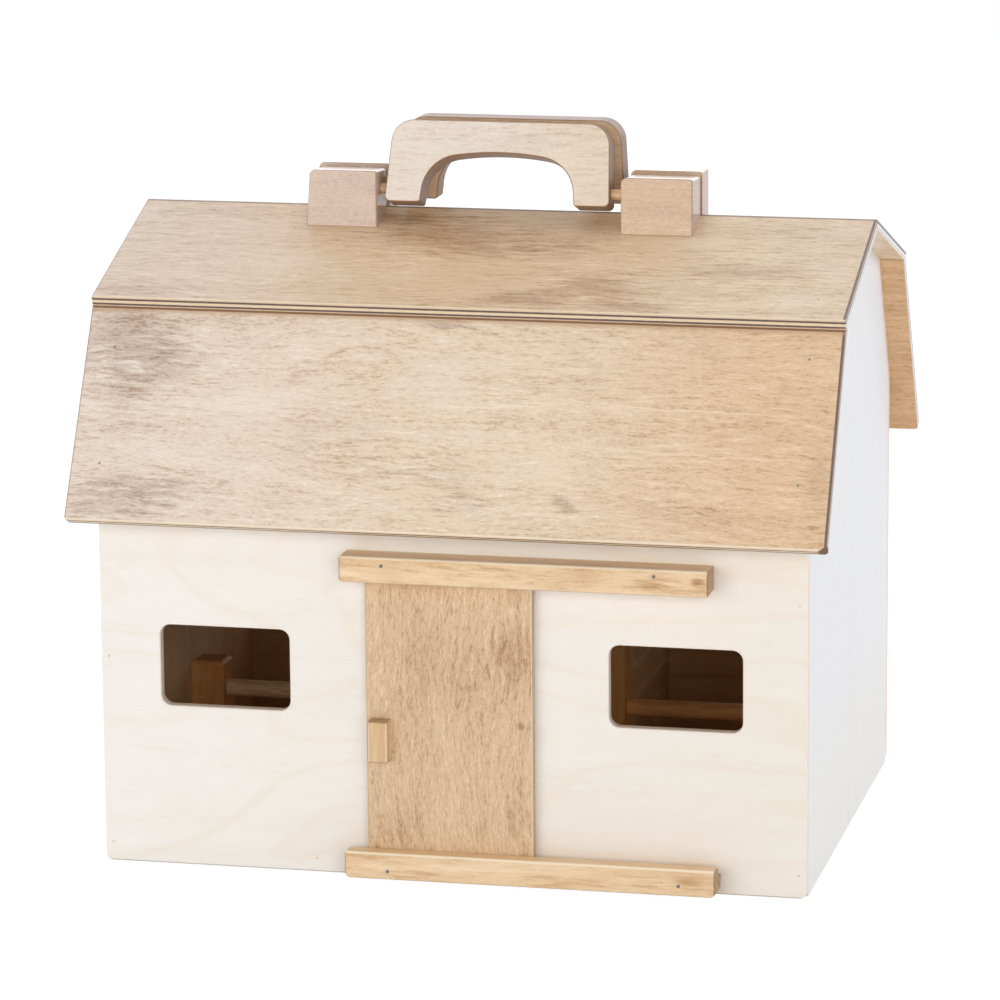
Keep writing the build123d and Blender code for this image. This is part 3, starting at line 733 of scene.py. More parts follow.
@dataclass(frozen=True)
class PlyFinish:
    """A sheet of plywood: its faces, and the plies that show on its edges.

    Attributes:
        wood: Its faces.
        ply: Display colour of the plies on an edge.
        core: Display colour of the middle ply.
        glue: Display colour of the glue lines.
        arris: Display colour of the sanded edges round a face.
        lining: Display colour of the face that looks into the barn; on the birch it is darker, partly
            painted shade.
        ease: The radius of the sanded edges, in millimetres.
        glue_depths: Distances of the glue lines from the sheet's middle, in millimetres.
        glue_half: Half a glue line's width, in millimetres.
        arris_depth: How strongly the sanded edges show, 0 to 1.
        end_skin: Display colour of the outer ply on the sheet's two ends, if it differs.
        end_ply_sheen: Display colour of its other plies there: their own pale wood, whitened by a painted
            sheen.
        painted_light: Painted light and shade along the sheet, as a tint that changes from end to end.
    """

    wood: Wood
    ply: Colour
    core: Colour
    glue: Colour
    arris: Colour
    lining: Colour
    ease: float = 0.6
    glue_depths: tuple[float, ...] = (1.45,)
    glue_half: float = 0.5
    arris_depth: float = 0.6
    end_skin: Colour | None = None
    end_ply_sheen: Colour | None = None
    painted_light: PaintedLightFade | None = None

    def edge(self, graph: BoardGraph) -> Socket:
        """Builds the colour of the sheet's edges, ply by ply.

        Args:
            graph: The board's material.

        Returns:
            The colour.
        """
        ragged = graph.pattern(graph.place, PLY_WANDER, detail=2.0)
        stray = graph.maths("SUBTRACT", ragged, 0.5)
        depth = graph.maths("MULTIPLY_ADD", stray, PLY_WANDER_REACH, graph.through)
        depth = graph.maths("ABSOLUTE", depth)
        first = self.glue_depths[0]
        in_core = graph.step(depth, first + 0.1, first - 0.1)
        colour = graph.mix(in_core, linear(*self.ply), linear(*self.core))
        flecks = graph.pattern(graph.place, PLY_FLECK, detail=2.0)
        fleck = graph.maths("MULTIPLY", graph.step(flecks, *PLY_FLECKS), FLECK_SHOWN)
        colour = graph.mix(fleck, colour, linear(*self.wood.deep))
        for glue_depth in self.glue_depths:
            off_line = graph.maths("ABSOLUTE", graph.maths("SUBTRACT", depth, glue_depth))
            on_line = graph.step(off_line, 1.25 * self.glue_half, 0.7 * self.glue_half)
            colour = graph.mix(on_line, colour, linear(*self.glue))
        return colour

    def stain_ends(self, graph: BoardGraph, outward: int, colour: Socket) -> Socket:
        """Stains the sheet's two ends, and whitens their inner plies with a painted sheen.

        Args:
            graph: The board's material.
            outward: The sign of the board's through direction on its outer side, or 0.
            colour: The edge's colour.

        Returns:
            The colour with the ends stained.
        """
        if self.end_skin is None or self.end_ply_sheen is None:
            return colour
        outer = graph.maths("MULTIPLY", graph.through, float(outward))
        skin = graph.step(outer, self.glue_depths[0] - 0.9, self.glue_depths[0] - 0.5)
        # The outer ply on the ends is stained dark; the inner plies take a painted sheen.
        stained = graph.mix(skin, linear(*self.end_ply_sheen), linear(*self.end_skin))
        stained = graph.mix(0.3, stained, colour)
        return graph.mix(graph.at_ends(0.5, 0.15), colour, stained)

    def lined(self, graph: BoardGraph, outward: int, plain: Socket, rimmed: Socket) -> Socket:
        """Tints the side of a sheet that looks into the barn, partly as painted shade, and brings out its
        grain.

        Args:
            graph: The board's material.
            outward: 1 where that grows outwards, -1 where it grows inwards, 0 for no inner side.
            plain: The face's colour without the lines along its sides.
            rimmed: The face's colour with them.

        Returns:
            The outer side's colour, and the tinted colour on the inner side.
        """
        if outward == 0:
            return rimmed
        grain = self.wood.bend(graph)
        inner = graph.step(graph.maths("MULTIPLY", graph.through, float(outward)), 0.0, -0.5)
        lining = graph.mix(1.0, plain, ratio(self.lining, self.wood.main), Blend.MULTIPLY)
        shade = graph.maths("ADD", self.wood.streaks(graph, grain, LINING_FIBRE, 2.0),
                            self.wood.streaks(graph, grain, LINING_BAND, 1.0))
        shade = graph.maths("MULTIPLY", graph.step(shade, *LINING_STREAKS), LINING_SHOWN)
        lining = graph.mix(shade, lining, LINING_SHADE, Blend.MULTIPLY)
        return graph.mix(inner, rimmed, lining)

    def cut_corner(self, graph: BoardGraph, cut: tuple[float, float]) -> Socket:
        """Finds the slanting cut across a corner.

        Args:
            graph: The board's material.
            cut: What the cut takes off along the grain and across it, in millimetres.

        Returns:
            1 on the cut, 0 elsewhere.
        """
        in_along = graph.maths("MULTIPLY_ADD", graph.along, 1 / cut[0], -graph.half_length / cut[0])
        in_across = graph.maths("MULTIPLY_ADD", graph.across, -1 / cut[1], -graph.half_width / cut[1])
        return graph.step(graph.maths("ADD", in_along, in_across), *CUT_FACE)

    def material(self, name: str, board: Board, outward: int = 0, rims: Rims = Rims(),
                 marks: Sequence[Mark] = (), lines: Sequence[PaleLine] = (),
                 cut: tuple[float, float] | None = None) -> bpy.types.Material:
        """Builds the finish for one sheet.

        Args:
            name: The material's name.
            board: How the sheet lies.
            outward: The sign of the board's through direction on its outer side, or 0.
            rims: Lines along the face's sides.
            marks: Knots and soaked patches.
            lines: Pale lines.
            cut: How far a slanting cut takes off the corner at the high end of the low side.

        Returns:
            The material.
        """
        graph = BoardGraph(name, board)
        colour, height = self.wood.face(graph, marks, lines)
        # Painted light and shade along the sheet, as a tint.
        if self.painted_light is not None:
            colour = self.painted_light.over(graph, self.wood, colour)
        colour = self.lined(graph, outward, colour, rims.over(graph, colour))
        depth = graph.depth()
        arris = graph.maths("MULTIPLY", graph.step(depth, 0.01, 0.12 * self.ease), self.arris_depth)
        colour = graph.mix(arris, colour, linear(*self.arris))
        on_edge = graph.step(depth, 0.7 * self.ease, 1.1 * self.ease)
        colour = graph.mix(on_edge, colour, self.stain_ends(graph, outward, self.edge(graph)))
        if cut is not None:
            colour = graph.mix(self.cut_corner(graph, cut), colour, linear(*CUT_STAIN))
        self.wood.surface(graph, colour, height, graph.maths("MULTIPLY", on_edge, CUT_ROUGHNESS))
        return graph.material


@dataclass(frozen=True)
class MetalFinish:
    """A dull, handled metal.

    Attributes:
        bright: Display colour where it is rubbed.
        dull: Display colour where it has tarnished.
        roughness: Its usual roughness.
        cover: Display colour of the stain that covers it higher up, if any does.
        covered_from: The height where that begins, in millimetres.
    """

    bright: Colour
    dull: Colour
    roughness: float
    cover: Colour | None = None
    covered_from: float = 0.0

    def material(self, name: str) -> bpy.types.Material:
        """Builds the finish.

        Args:
            name: The material's name.

        Returns:
            The material.
        """
        material = bpy.data.materials.new(name)
        graph = Graph(material)
        place = graph.barn_place()
        cloud = graph.pattern(place, TARNISH, detail=2.0)
        scratch = graph.pattern(place, SCRATCH, detail=1.0)
        worn = graph.maths("MULTIPLY_ADD", scratch, SCRATCHES_IN_WEAR, cloud)
        colour = graph.mix(graph.step(worn, *TARNISHED), linear(*self.bright), linear(*self.dull))
        if self.cover is not None:
            high = graph.step(graph.split(place)[2], self.covered_from, self.covered_from + 1.0)
            colour = graph.mix(high, colour, linear(*self.cover))
        roughness = graph.maths("MULTIPLY_ADD", worn, WEAR_ROUGHNESS, self.roughness - 0.1)
        normal = graph.bump(scratch, METAL_RELIEF * MILLIMETRE, 0.15)
        graph.surface(colour, roughness, normal, Metallic=1.0)
        return material


@dataclass(frozen=True)
class FillerFinish:
    """The soft filler over a sunk nail.

    Attributes:
        colour: Display colour of the filler.
        stain: Display colour of its darker middle.
    """

    colour: Colour
    stain: Colour

    def material(self, name: str) -> bpy.types.Material:
        """Builds the finish.

        Args:
            name: The material's name.

        Returns:
            The material.
        """
        material = bpy.data.materials.new(name)
        graph = Graph(material)
        cloud = graph.pattern(graph.barn_place(), FILLER_GRIT, detail=3.0)
        colour = graph.mix(graph.step(cloud, *FILLER_MIDDLE), linear(*self.colour), linear(*self.stain))
        graph.surface(colour, 0.7, graph.bump(cloud, FILLER_RELIEF * MILLIMETRE, 0.4))
        return material


# ---- the barn's woods ---------------------------------------------------------------------------
CUT_STAIN = (116, 82, 56)
BIRCH = Wood(
    pale=(249, 246, 240), main=(245, 241, 234), deep=(240, 233, 223), soaked=(243, 235, 223),
    line=(243, 227, 204), fine=0.5, middling=0.5, wide=0.5, blotch=0.4, figure=0.26, figure_count=8.0,
    wander=15.0, curl=0.8, coat=0.0, coat_roughness=0.3, roughness=0.6)
STAINED = Wood(
    pale=(246, 231, 211), main=(231, 210, 184), deep=(200, 170, 141), soaked=(198, 174, 150),
    line=(240, 224, 202), fine=1.15, middling=0.8, wide=0.35, blotch=0.3, figure=0.1, figure_count=3.0,
    fibre=(4.8, 1.1))
UPPER_STAINED = replace(
    STAINED, pale=(236, 214, 184), main=(219, 191, 157), deep=(188, 155, 119), soaked=(188, 154, 122),
    line=(230, 210, 180), fine=1.0, middling=0.8, fibre=(5.5, 1.2), seed=1.7)
DOOR_STAINED = replace(
    STAINED, pale=(236, 210, 174), main=(218, 187, 150), deep=(186, 151, 113), soaked=(192, 154, 117),
    line=(230, 206, 172), fine=1.4, middling=0.6, wander=12.0, curl=1.6, seed=4.1)
HANDLE_WOOD = Wood(
    pale=(244, 232, 218), main=(235, 220, 206), deep=(213, 193, 174), soaked=(208, 187, 168),
    line=(236, 222, 204), fine=1.0, middling=0.8, wide=0.3, blotch=0.5, figure=0.1, figure_count=3.0,
    wander=3.0, curl=0.7, fibre=(4.2, 0.7), coat=0.2, coat_roughness=0.14, seed=2.3)
BLOCK_WOOD = Wood(
    pale=(232, 213, 193), main=(220, 198, 179), deep=(198, 173, 154), soaked=(194, 169, 155),
    line=(226, 204, 178), fine=1.25, middling=0.6, wide=0.3, blotch=0.7, figure=0.1, figure_count=3.0,
    wander=3.0, curl=0.8, fibre=(3.0, 0.8), coat=0.75, coat_roughness=0.12, seed=6.2)
PINE = Wood(
    pale=(250, 228, 192), main=(238, 208, 169), deep=(212, 173, 128), soaked=(196, 152, 108),
    line=(216, 174, 126), fine=0.7, middling=0.9, wide=1.0, blotch=0.5, figure=0.3, figure_count=7.0,
    wander=4.0, curl=0.6, fibre=(9.0, 0.8), coat=0.45, coat_roughness=0.2, seed=3.6)
STALL_PINE = replace(
    PINE, pale=(232, 178, 114), main=(224, 164, 98), deep=(198, 138, 78), soaked=(188, 130, 72),
    coat=0.0, specular=0.05)

DARK_END = Rim(2.1, (100, 84, 86), 0.92)
THIN_END = Rim(0.9, (150, 128, 118), 0.8)
# A painted highlight along a sheet's lower edge, where its rounding catches the light.
PAINTED_HIGHLIGHT_LIP = Rim(1.5, (247, 232, 208), 0.75)
DARK_RIDGE = Rim(2.6, (122, 106, 98), 0.85)
# Painted shadow on a lower roof sheet under the upper sheet's lap: a soft brown band and a thin dark line.
PAINTED_LAP_SHADOW = (Rim(4.2, (196, 158, 120), 0.7, 0.2), Rim(1.3, (122, 88, 64), 0.9, 0.6))

# The birch's inner lining is darker amber than its outer face: partly the ply's own colour, partly painted
# shade of the dim inside.
WALL_PLY = PlyFinish(
    wood=BIRCH, ply=(254, 236, 219), core=(250, 228, 207), glue=(234, 206, 183), arris=(252, 238, 226),
    lining=(214, 176, 134), glue_half=0.22)
ROOF_PLY = PlyFinish(
    wood=STAINED, ply=(222, 190, 152), core=(236, 212, 178), glue=(98, 82, 82), arris=(214, 184, 152),
    lining=(230, 201, 164), glue_half=0.6, end_skin=(92, 78, 82), end_ply_sheen=(238, 233, 230))
HANDLE_PLY = PlyFinish(
    wood=HANDLE_WOOD, ply=(188, 160, 136), core=(180, 150, 126), glue=(84, 64, 54),
    arris=(146, 104, 70), lining=(235, 220, 206), ease=1.5, glue_depths=(0.75, 2.2, 3.6, 5.0, 6.4),
    glue_half=0.34, arris_depth=0.9)
BLOCK = SolidFinish(
    BLOCK_WOOD, end=(180, 148, 120), side=(200, 172, 146), arris=(150, 110, 78), ease=1.2,
    rims=Rims(low_side=(Rim(0.9, (176, 136, 92), 0.8, 0.5),),
              high_end=(Rim(0.9, (130, 98, 72), 0.8, 0.5),)))
# The pine sticks' pale arris is a painted highlight along their rounded edges.
STICK = SolidFinish(PINE, end=(168, 130, 94), side=(234, 186, 130), arris=(252, 236, 208), ease=1.4)


def board_of(node: str, along: Axis, thin: Axis) -> Board:
    """Reads a straight board's place from its CAD node.

    Args:
        node: The node's name.
        along: The axis of its grain.
        thin: The axis of its thickness.

    Returns:
        The board.
    """
    low, high = (Vector(corner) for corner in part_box(node))
    across = next(axis for axis in Axis if axis not in (along, thin))
    size = high - low
    sides = (size[axis.value] for axis in (along, across, thin))
    return Board((low + high) / 2, along.way, across.way, *sides)


def dress(node: str, material: bpy.types.Material) -> None:
    """Gives a CAD node its finish.

    Args:
        node: The node's name.
        material: The finish.
    """
    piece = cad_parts[node]
    piece.data.materials.clear()
    piece.data.materials.append(material)
    LOG.info("%s is finished in %s", node, material.name)


@dataclass
class House:
    """Walls, gables and floors of pale birch ply."""

    finish: PlyFinish = WALL_PLY
    # The gables' inner face is darker amber: partly the ply's own colour, partly painted shade of the dim
    # inside.
    gable_lining_and_shade: Colour = (234, 196, 152)
    # Painted light: the walls paler at the hinge end and warmer at the far end; the gables carry painted
    # shade, darker and warmer towards the bottom.
    wall_painted_light: PaintedLightFade = PaintedLightFade((246, 242, 236), (245, 240, 232), (243, 236, 225))
    gable_painted_light: PaintedLightFade = PaintedLightFade((243, 238, 227), (244, 240, 234), (244, 240, 234), 0.4)

    def sheets(self) -> dict[str, tuple[Axis, Axis, int]]:
        """Says how each sheet lies.

        Returns:
            Each node's grain axis, thin axis, and the sign of its board's outer side.
        """
        return {
            "front_wall": (Axis.X, Axis.Y, 1), "rear_wall": (Axis.X, Axis.Y, -1),
            "front_floor": (Axis.X, Axis.Z, -1), "rear_floor": (Axis.X, Axis.Z, -1),
            "front_gable_hinge_side": (Axis.Z, Axis.X, 1), "rear_gable_hinge_side": (Axis.Z, Axis.X, 1),
            "front_gable_far_side": (Axis.Z, Axis.X, -1), "rear_gable_far_side": (Axis.Z, Axis.X, -1),
        }

    def dress(self) -> None:
        """Finishes every sheet, each from its own part of the veneer."""
        # A painted shadow: a thin grey line along the bottom edge of the walls, where they stand on the
        # table.
        painted_contact_shadow = Rims(low_side=(Rim(0.9, (150, 138, 128), 0.8, 0.5),))
        for index, (node, (along, thin, outward)) in enumerate(self.sheets().items()):
            wood = replace(self.finish.wood, seed=self.finish.wood.seed + 1.3 * index)
            finish, rims = replace(self.finish, wood=wood), Rims()
            if thin is Axis.X:
                calm = replace(wood, figure=0.05, wide=0.2)
                finish = replace(finish, wood=calm, lining=self.gable_lining_and_shade, painted_light=self.gable_painted_light)
            elif thin is Axis.Y:
                finish, rims = replace(finish, painted_light=self.wall_painted_light), painted_contact_shadow
            dress(node, finish.material(f"birch_ply_{node}", board_of(node, along, thin), outward, rims))


@dataclass
class Roof:
    """The four stained sheets of the gambrel roof."""

    ply: float = 6.0 * MILLIMETRE
    break_reach: float = 115.5 * MILLIMETRE
    break_height: float = 321.0 * MILLIMETRE
    upper_slope: float = math.radians(18.25)
    lower_slope: float = math.radians(60.0)
    lower_length: float = 127.5 * MILLIMETRE
    eave_cut: tuple[float, float] = (4.9, 3.3)
    # Painted light: the lower sheets paler at the hinge end and warmer at the far end, the upper ones paler
    # at both ends, a painted sheen.
    lower_painted_light: PaintedLightFade = PaintedLightFade((232, 214, 197), (231, 209, 184), (224, 191, 154), 0.5)
    upper_painted_light: PaintedLightFade = PaintedLightFade((224, 202, 181), (217, 186, 149), (227, 202, 172), 0.45)
    lower_rims: Rims = Rims((THIN_END,), (DARK_END,), (PAINTED_HIGHLIGHT_LIP,), PAINTED_LAP_SHADOW)
    upper_rims: Rims = Rims((THIN_END,), (DARK_END,), (PAINTED_HIGHLIGHT_LIP,), (DARK_RIDGE,))
    rear_seed: float = 5.9
    lower_marks: tuple[Mark, ...] = (
        Mark(-200, 48, 90, 52, 0.68), Mark(-168, 30, 70, 34, 0.5), Mark(-196, 12, 60, 26, 0.4),
        Mark(-186, -8, 60, 12, 0.3), Mark(-176, -39, 76, 17, 0.35), Mark(-190, -54, 66, 30, 0.62),
        Mark(-156, -46, 40, 18, 0.4), Mark(-86, -12, 26, 40, 0.3), Mark(-92, -47, 60, 14, 0.25),
        Mark(-114, 43, 40, 14, 0.25), Mark(-46, 42, 30, 16, 0.25), Mark(-10, 60, 40, 9, 0.8),
        Mark(-57, -4, 60, 26, 0.3), Mark(-45, -28, 74, 18, 0.3), Mark(6, -30, 60, 30, 0.3),
        Mark(12, -46, 34, 16, 0.4), Mark(40, 24, 64, 14, 0.15), Mark(42, -53, 40, 14, 0.25),
        Mark(66, -41, 15, 8, 0.9), Mark(72, -46, 11, 6, 0.8), Mark(139, -47, 90, 24, 0.3),
        Mark(174, 4, 70, 30, 0.25), Mark(136, 52, 60, 18, 0.2), Mark(208, -24, 20, 60, 0.4),
        Mark(184, 28, 9, 11, 0.4), Mark(-118, 8, 90, 44, -0.4), Mark(-150, -22, 90, 22, -0.4),
        Mark(-100, -32, 80, 18, -0.35), Mark(-64, 54, 70, 18, -0.25), Mark(-8, 26, 60, 44, -0.4),
        Mark(34, -22, 60, 30, -0.35), Mark(66, -18, 40, 40, -0.3), Mark(-10, -8, 60, 16, -0.25))
    lower_lines: tuple[PaleLine, ...] = (
        PaleLine(62, 208, 13.5, -0.03, 2.0), PaleLine(66, 210, -12.0, -0.03, 2.0),
        PaleLine(-20, 74, 12.0, 0.06, 2.0))
    upper_marks: tuple[Mark, ...] = (
        Mark(-200, -50, 70, 18, 0.45), Mark(-180, 44, 80, 18, 0.3), Mark(-22, 24, 110, 50, 0.7),
        Mark(34, -46, 60, 20, 0.85), Mark(70, -30, 60, 34, 0.75), Mark(94, -52, 60, 12, 0.7),
        Mark(42, 14, 60, 24, 0.45), Mark(150, -8, 90, 24, 0.6), Mark(152, 40, 90, 14, 0.3),
        Mark(-60, 46, 90, 16, 0.55), Mark(-120, -10, 90, 50, -0.35), Mark(-140, 30, 80, 20, -0.3),
        Mark(112, 26, 70, 26, -0.4), Mark(188, -40, 50, 26, -0.4), Mark(0, -40, 50, 16, -0.3))

    def sheet(self, node: str, foot: Vector, slope: float, length: float, side: int) -> Board:
        """Works out how a sloping sheet lies.

        Args:
            node: The sheet's node.
            foot: The lower edge of its outer face, as (reach from the ridge plane, height).
            slope: Its pitch.
            length: Its size up the slope.
            side: -1 on the front, 1 on the rear.

        Returns:
            The board.
        """
        low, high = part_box(node)
        up = Vector((0.0, -side * math.cos(slope), math.sin(slope)))
        outward = Vector((0.0, side * math.sin(slope), math.cos(slope)))
        start = Vector(((low[0] + high[0]) / 2, side * foot[0], foot[1]))
        middle = start + up * (length / 2) - outward * (self.ply / 2)
        return Board(middle, Vector((1, 0, 0)), up, high[0] - low[0], length, self.ply)

    def dress(self) -> None:
        """Finishes the four sheets, each from its own part of the veneer."""
        lap = Vector((self.break_reach - self.ply * math.sin(self.upper_slope),
                      self.break_height - self.ply * math.cos(self.upper_slope)))
        eave = lap + self.lower_length * Vector((math.cos(self.lower_slope), -math.sin(self.lower_slope)))
        upper_foot = Vector((self.break_reach, self.break_height))
        upper_length = self.break_reach / math.cos(self.upper_slope)
        for side, half in ((-1, "front"), (1, "rear")):
            front = side == -1
            seed = 0.0 if front else self.rear_seed
            upper = replace(ROOF_PLY, wood=replace(UPPER_STAINED, seed=UPPER_STAINED.seed + seed),
                            painted_light=self.upper_painted_light)
            lower = replace(ROOF_PLY, wood=replace(STAINED, seed=seed), painted_light=self.lower_painted_light)
            node = f"{half}_upper_roof"
            board = self.sheet(node, upper_foot, self.upper_slope, upper_length, side)
            marks = self.upper_marks if front else ()
            dress(node, upper.material(f"stained_ply_{node}", board, -side, self.upper_rims, marks))
            node = f"{half}_lower_roof"
            board = self.sheet(node, eave, self.lower_slope, self.lower_length, side)
            extras = (self.lower_marks, self.lower_lines, self.eave_cut) if front else ()
            dress(node, lower.material(f"stained_ply_{node}", board, -side, self.lower_rims, *extras))


@dataclass
class Door:
    """The sliding door, its pull and the two rails that hold it."""

    marks: tuple[Mark, ...] = (
        Mark(38, 40, 44, 34, 0.7), Mark(14, 14, 60, 34, 0.35), Mark(-66, -28, 26, 30, 0.5),
        Mark(-58, 36, 46, 24, 0.4), Mark(-3, 41, 6, 5, 1.0), Mark(72, 40, 18, 16, 0.5),
        Mark(34, -12, 64, 44, 0.3), Mark(76, -10, 16, 80, 0.4))
    top_marks: tuple[Mark, ...] = (
        Mark(98, 1.5, 9, 4.5, 1.0), Mark(72, -1, 26, 5, 0.6), Mark(-20, 3, 40, 2.5, 0.4))
    bottom_marks: tuple[Mark, ...] = (
        Mark(60, 2, 30, 3, 0.4), Mark(92, 1, 22, 5, 0.5), Mark(-60, -3, 34, 3, 0.5))
    # The pale line along the door's side towards the far gable is a painted highlight.
    door_rims: Rims = Rims(low_side=(Rim(0.9, (190, 148, 106), 0.6),),
                           high_side=(Rim(0.9, (236, 214, 182), 0.7),))
    # The pale line along each rail's top edge is a painted highlight.
    rail_rims: Rims = Rims((), (Rim(1.1, (150, 112, 78), 0.8, 0.5),), (Rim(0.8, (196, 150, 100), 0.6),),
                           (Rim(1.5, (252, 236, 208), 0.7, 0.5),))
    panel: PlyFinish = replace(ROOF_PLY, wood=DOOR_STAINED, arris=(226, 196, 160), end_skin=None)
    pull: SolidFinish = replace(
        STICK, wood=replace(PINE, main=(216, 178, 134), pale=(230, 198, 152), seed=8.1),
        end=(116, 92, 70), side=(230, 192, 146), ease=1.2)

    def dress(self) -> None:
        """Finishes the door with upright grain and the rails with level grain."""
        board = board_of("sliding_door", Axis.Z, Axis.Y)
        dress("sliding_door", self.panel.material("stained_ply_door", board, 0, self.door_rims, self.marks))
        dress("door_pull", self.pull.material("pine_pull", board_of("door_pull", Axis.Z, Axis.Y)))
        for rail, seed, marks in (("door_top_rail", 3.6, self.top_marks),
                                  ("door_bottom_rail", 9.2, self.bottom_marks)):
            stick = replace(STICK, wood=replace(PINE, seed=seed), end=(118, 86, 60), rims=self.rail_rims)
            dress(rail, stick.material(f"pine_{rail}", board_of(rail, Axis.X, Axis.Y), marks))


@dataclass
class Handles:
    """The two arched handles, their blocks and the dowels that they turn on."""

    lean: float = math.radians(18.3)
    thickness: float = 16.0 * MILLIMETRE
    # The front handle carries painted light, warmer towards the far end.
    front_finish: PlyFinish = replace(
        HANDLE_PLY, painted_light=PaintedLightFade((236, 223, 211), (235, 222, 209), (234, 216, 195), 0.4))
    # The rear handle is a darker, warmer copy of the handle wood: painted shade, where it stands behind the
    # front handle.
    rear_shaded_finish: PlyFinish = replace(HANDLE_PLY, wood=replace(
        HANDLE_WOOD, pale=(226, 202, 174), main=(212, 184, 152), deep=(190, 158, 124), seed=7.7))
    dowel: SolidFinish = replace(STICK, ease=0.1)
    block_shades: tuple[Colour, Colour] = ((219, 198, 183), (218, 191, 162))

    def board(self, node: str, lean: float) -> Board:
        """Works out how a handle's ply lies.

        Args:
            node: The handle's node.
            lean: How far its top leans towards the rear.

        Returns:
            The board.
        """
        low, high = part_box(node)
        middle = (Vector(low) + Vector(high)) / 2
        up = Vector((0.0, math.sin(lean), math.cos(lean)))
        return Board(middle, Vector((1, 0, 0)), up, high[0] - low[0], high[2] - low[2], self.thickness)

    def dress(self) -> None:
        """Finishes the handles, blocks and dowels."""
        for half, lean, finish in (("front", self.lean, self.front_finish),
                                   ("rear", 0.0, self.rear_shaded_finish)):
            handle, pins = f"{half}_handle", f"{half}_handle_pins"
            dress(handle, finish.material(f"stained_{handle}", self.board(handle, lean)))
            dress(pins, self.dowel.material(f"dowel_{handle}", board_of(pins, Axis.X, Axis.Y)))
            for offset, (side, main) in enumerate(zip(("left", "right"), self.block_shades)):
                node = f"{half}_handle_block_{side}"
                wood = replace(BLOCK_WOOD, main=main, seed=finish.wood.seed + 2.9 * offset)
                block = replace(BLOCK, wood=wood)
                dress(node, block.material(f"stained_{node}", board_of(node, Axis.X, Axis.Y)))


@dataclass
class Stalls:
    """Posts, dividers and rails inside the rear half."""

    post: SolidFinish = replace(
        STICK, wood=STALL_PINE, arris=(230, 174, 112), side=(216, 156, 94), ease=0.8)
    # The dividers' birch is darkened to amber: partly the ply's own colour, partly painted shade of the dim
    # inside.
    divider: PlyFinish = replace(WALL_PLY, wood=replace(
        BIRCH, main=(208, 168, 118), pale=(216, 180, 132), deep=(192, 150, 102), soaked=(190, 146, 98),
        specular=0.05))
    # Lit and shaded copies of one rail pine: painted light, brighter on the left rails, darker and warmer
    # on the right.
    dowel_painted_light: tuple[Colour, Colour] = ((255, 222, 176), (240, 182, 116))

    def dress(self) -> None:
        """Finishes the posts in pine, the dividers in ply and the rails as dowels."""
        # Each side's dowels take that side's painted light or shade.
        for side, shade in zip(("left", "right"), self.dowel_painted_light):
            dowel = replace(STICK, wood=replace(STALL_PINE, main=shade, pale=shade),
                            side=shade, arris=shade, ease=0.1)
            for size in ("short", "tall"):
                node = f"stall_post_{size}_{side}"
                dress(node, self.post.material(f"pine_{node}", board_of(node, Axis.Z, Axis.Y)))
            node = f"stall_divider_{side}"
            dress(node, self.divider.material(f"birch_ply_{node}", board_of(node, Axis.Y, Axis.X)))
            for level in ("lower", "upper"):
                node = f"stall_rail_{level}_{side}"
                dress(node, dowel.material(f"dowel_{node}", board_of(node, Axis.X, Axis.Y)))


@dataclass
class Hardware:
    """Battens, brass hinges, screws and nails."""

    brass: MetalFinish = MetalFinish(bright=(226, 194, 130), dull=(206, 170, 106), roughness=0.36)
    steel: MetalFinish = MetalFinish(bright=(150, 146, 144), dull=(112, 106, 102), roughness=0.5)
    blued: MetalFinish = MetalFinish(bright=(190, 196, 208), dull=(142, 146, 156), roughness=0.5,
                                     cover=(214, 188, 154), covered_from=323.0)
    filler: FillerFinish = FillerFinish(colour=(240, 222, 184), stain=(226, 200, 150))

    def dress(self) -> None:
        """Finishes the hinges and everything that holds the barn together."""
        brass = self.brass.material("rolled_brass")
        steel = self.steel.material("nail_steel")
        blued = self.blued.material("blued_nail_steel")
        filler = self.filler.material("nail_filler")
        dress("hinge_pins", brass)
        dress("door_rail_nails", steel)
        for half in ("front", "rear"):
            batten = f"{half}_hinge_batten"
            dress(batten, BLOCK.material(f"stained_{batten}", board_of(batten, Axis.Z, Axis.X)))
            dress(f"{half}_hinge_leaf_lower", brass)
            dress(f"{half}_hinge_leaf_upper", brass)
            dress(f"{half}_hinge_screws", brass)
            dress(f"{half}_roof_brads", blued)
            dress(f"{half}_wall_brads", filler)


# ---- studio -------------------------------------------------------------------------------------
@dataclass(frozen=True)
class Lamp:
    """A soft lamp aimed at the barn's middle.

    Attributes:
        name: Its name.
        place: Where it hangs.
        size: Its width and height.
        light: What share of full light it alone gives a surface that faces it.
        colour: Its linear colour.
        mirrored: Whether lacquer reflects it.
    """

    name: str
    place: tuple[float, float, float]
    size: tuple[float, float]
    light: float
    colour: Colour
    mirrored: bool = False

    def hang(self, target: Vector) -> None:
        """Hangs the lamp.

        Args:
            target: What it is aimed at.
        """
        place = Vector(self.place)
        aim = target - place
        data = bpy.data.lights.new(self.name, "AREA")
        data.shape, data.size, data.size_y = "RECTANGLE", *self.size
        data.energy, data.color = self.light * math.pi ** 2 * aim.length_squared, self.colour
        lamp = bpy.data.objects.new(self.name, data)
        lamp.visible_glossy = self.mirrored
        lamp.matrix_world = Matrix.Translation(place) @ aim.to_track_quat("-Z", "Y").to_matrix().to_4x4()
        bpy.context.scene.collection.objects.link(lamp)


WARM = (1.0, 0.99, 0.975)
COOL = (0.85, 0.95, 1.18)


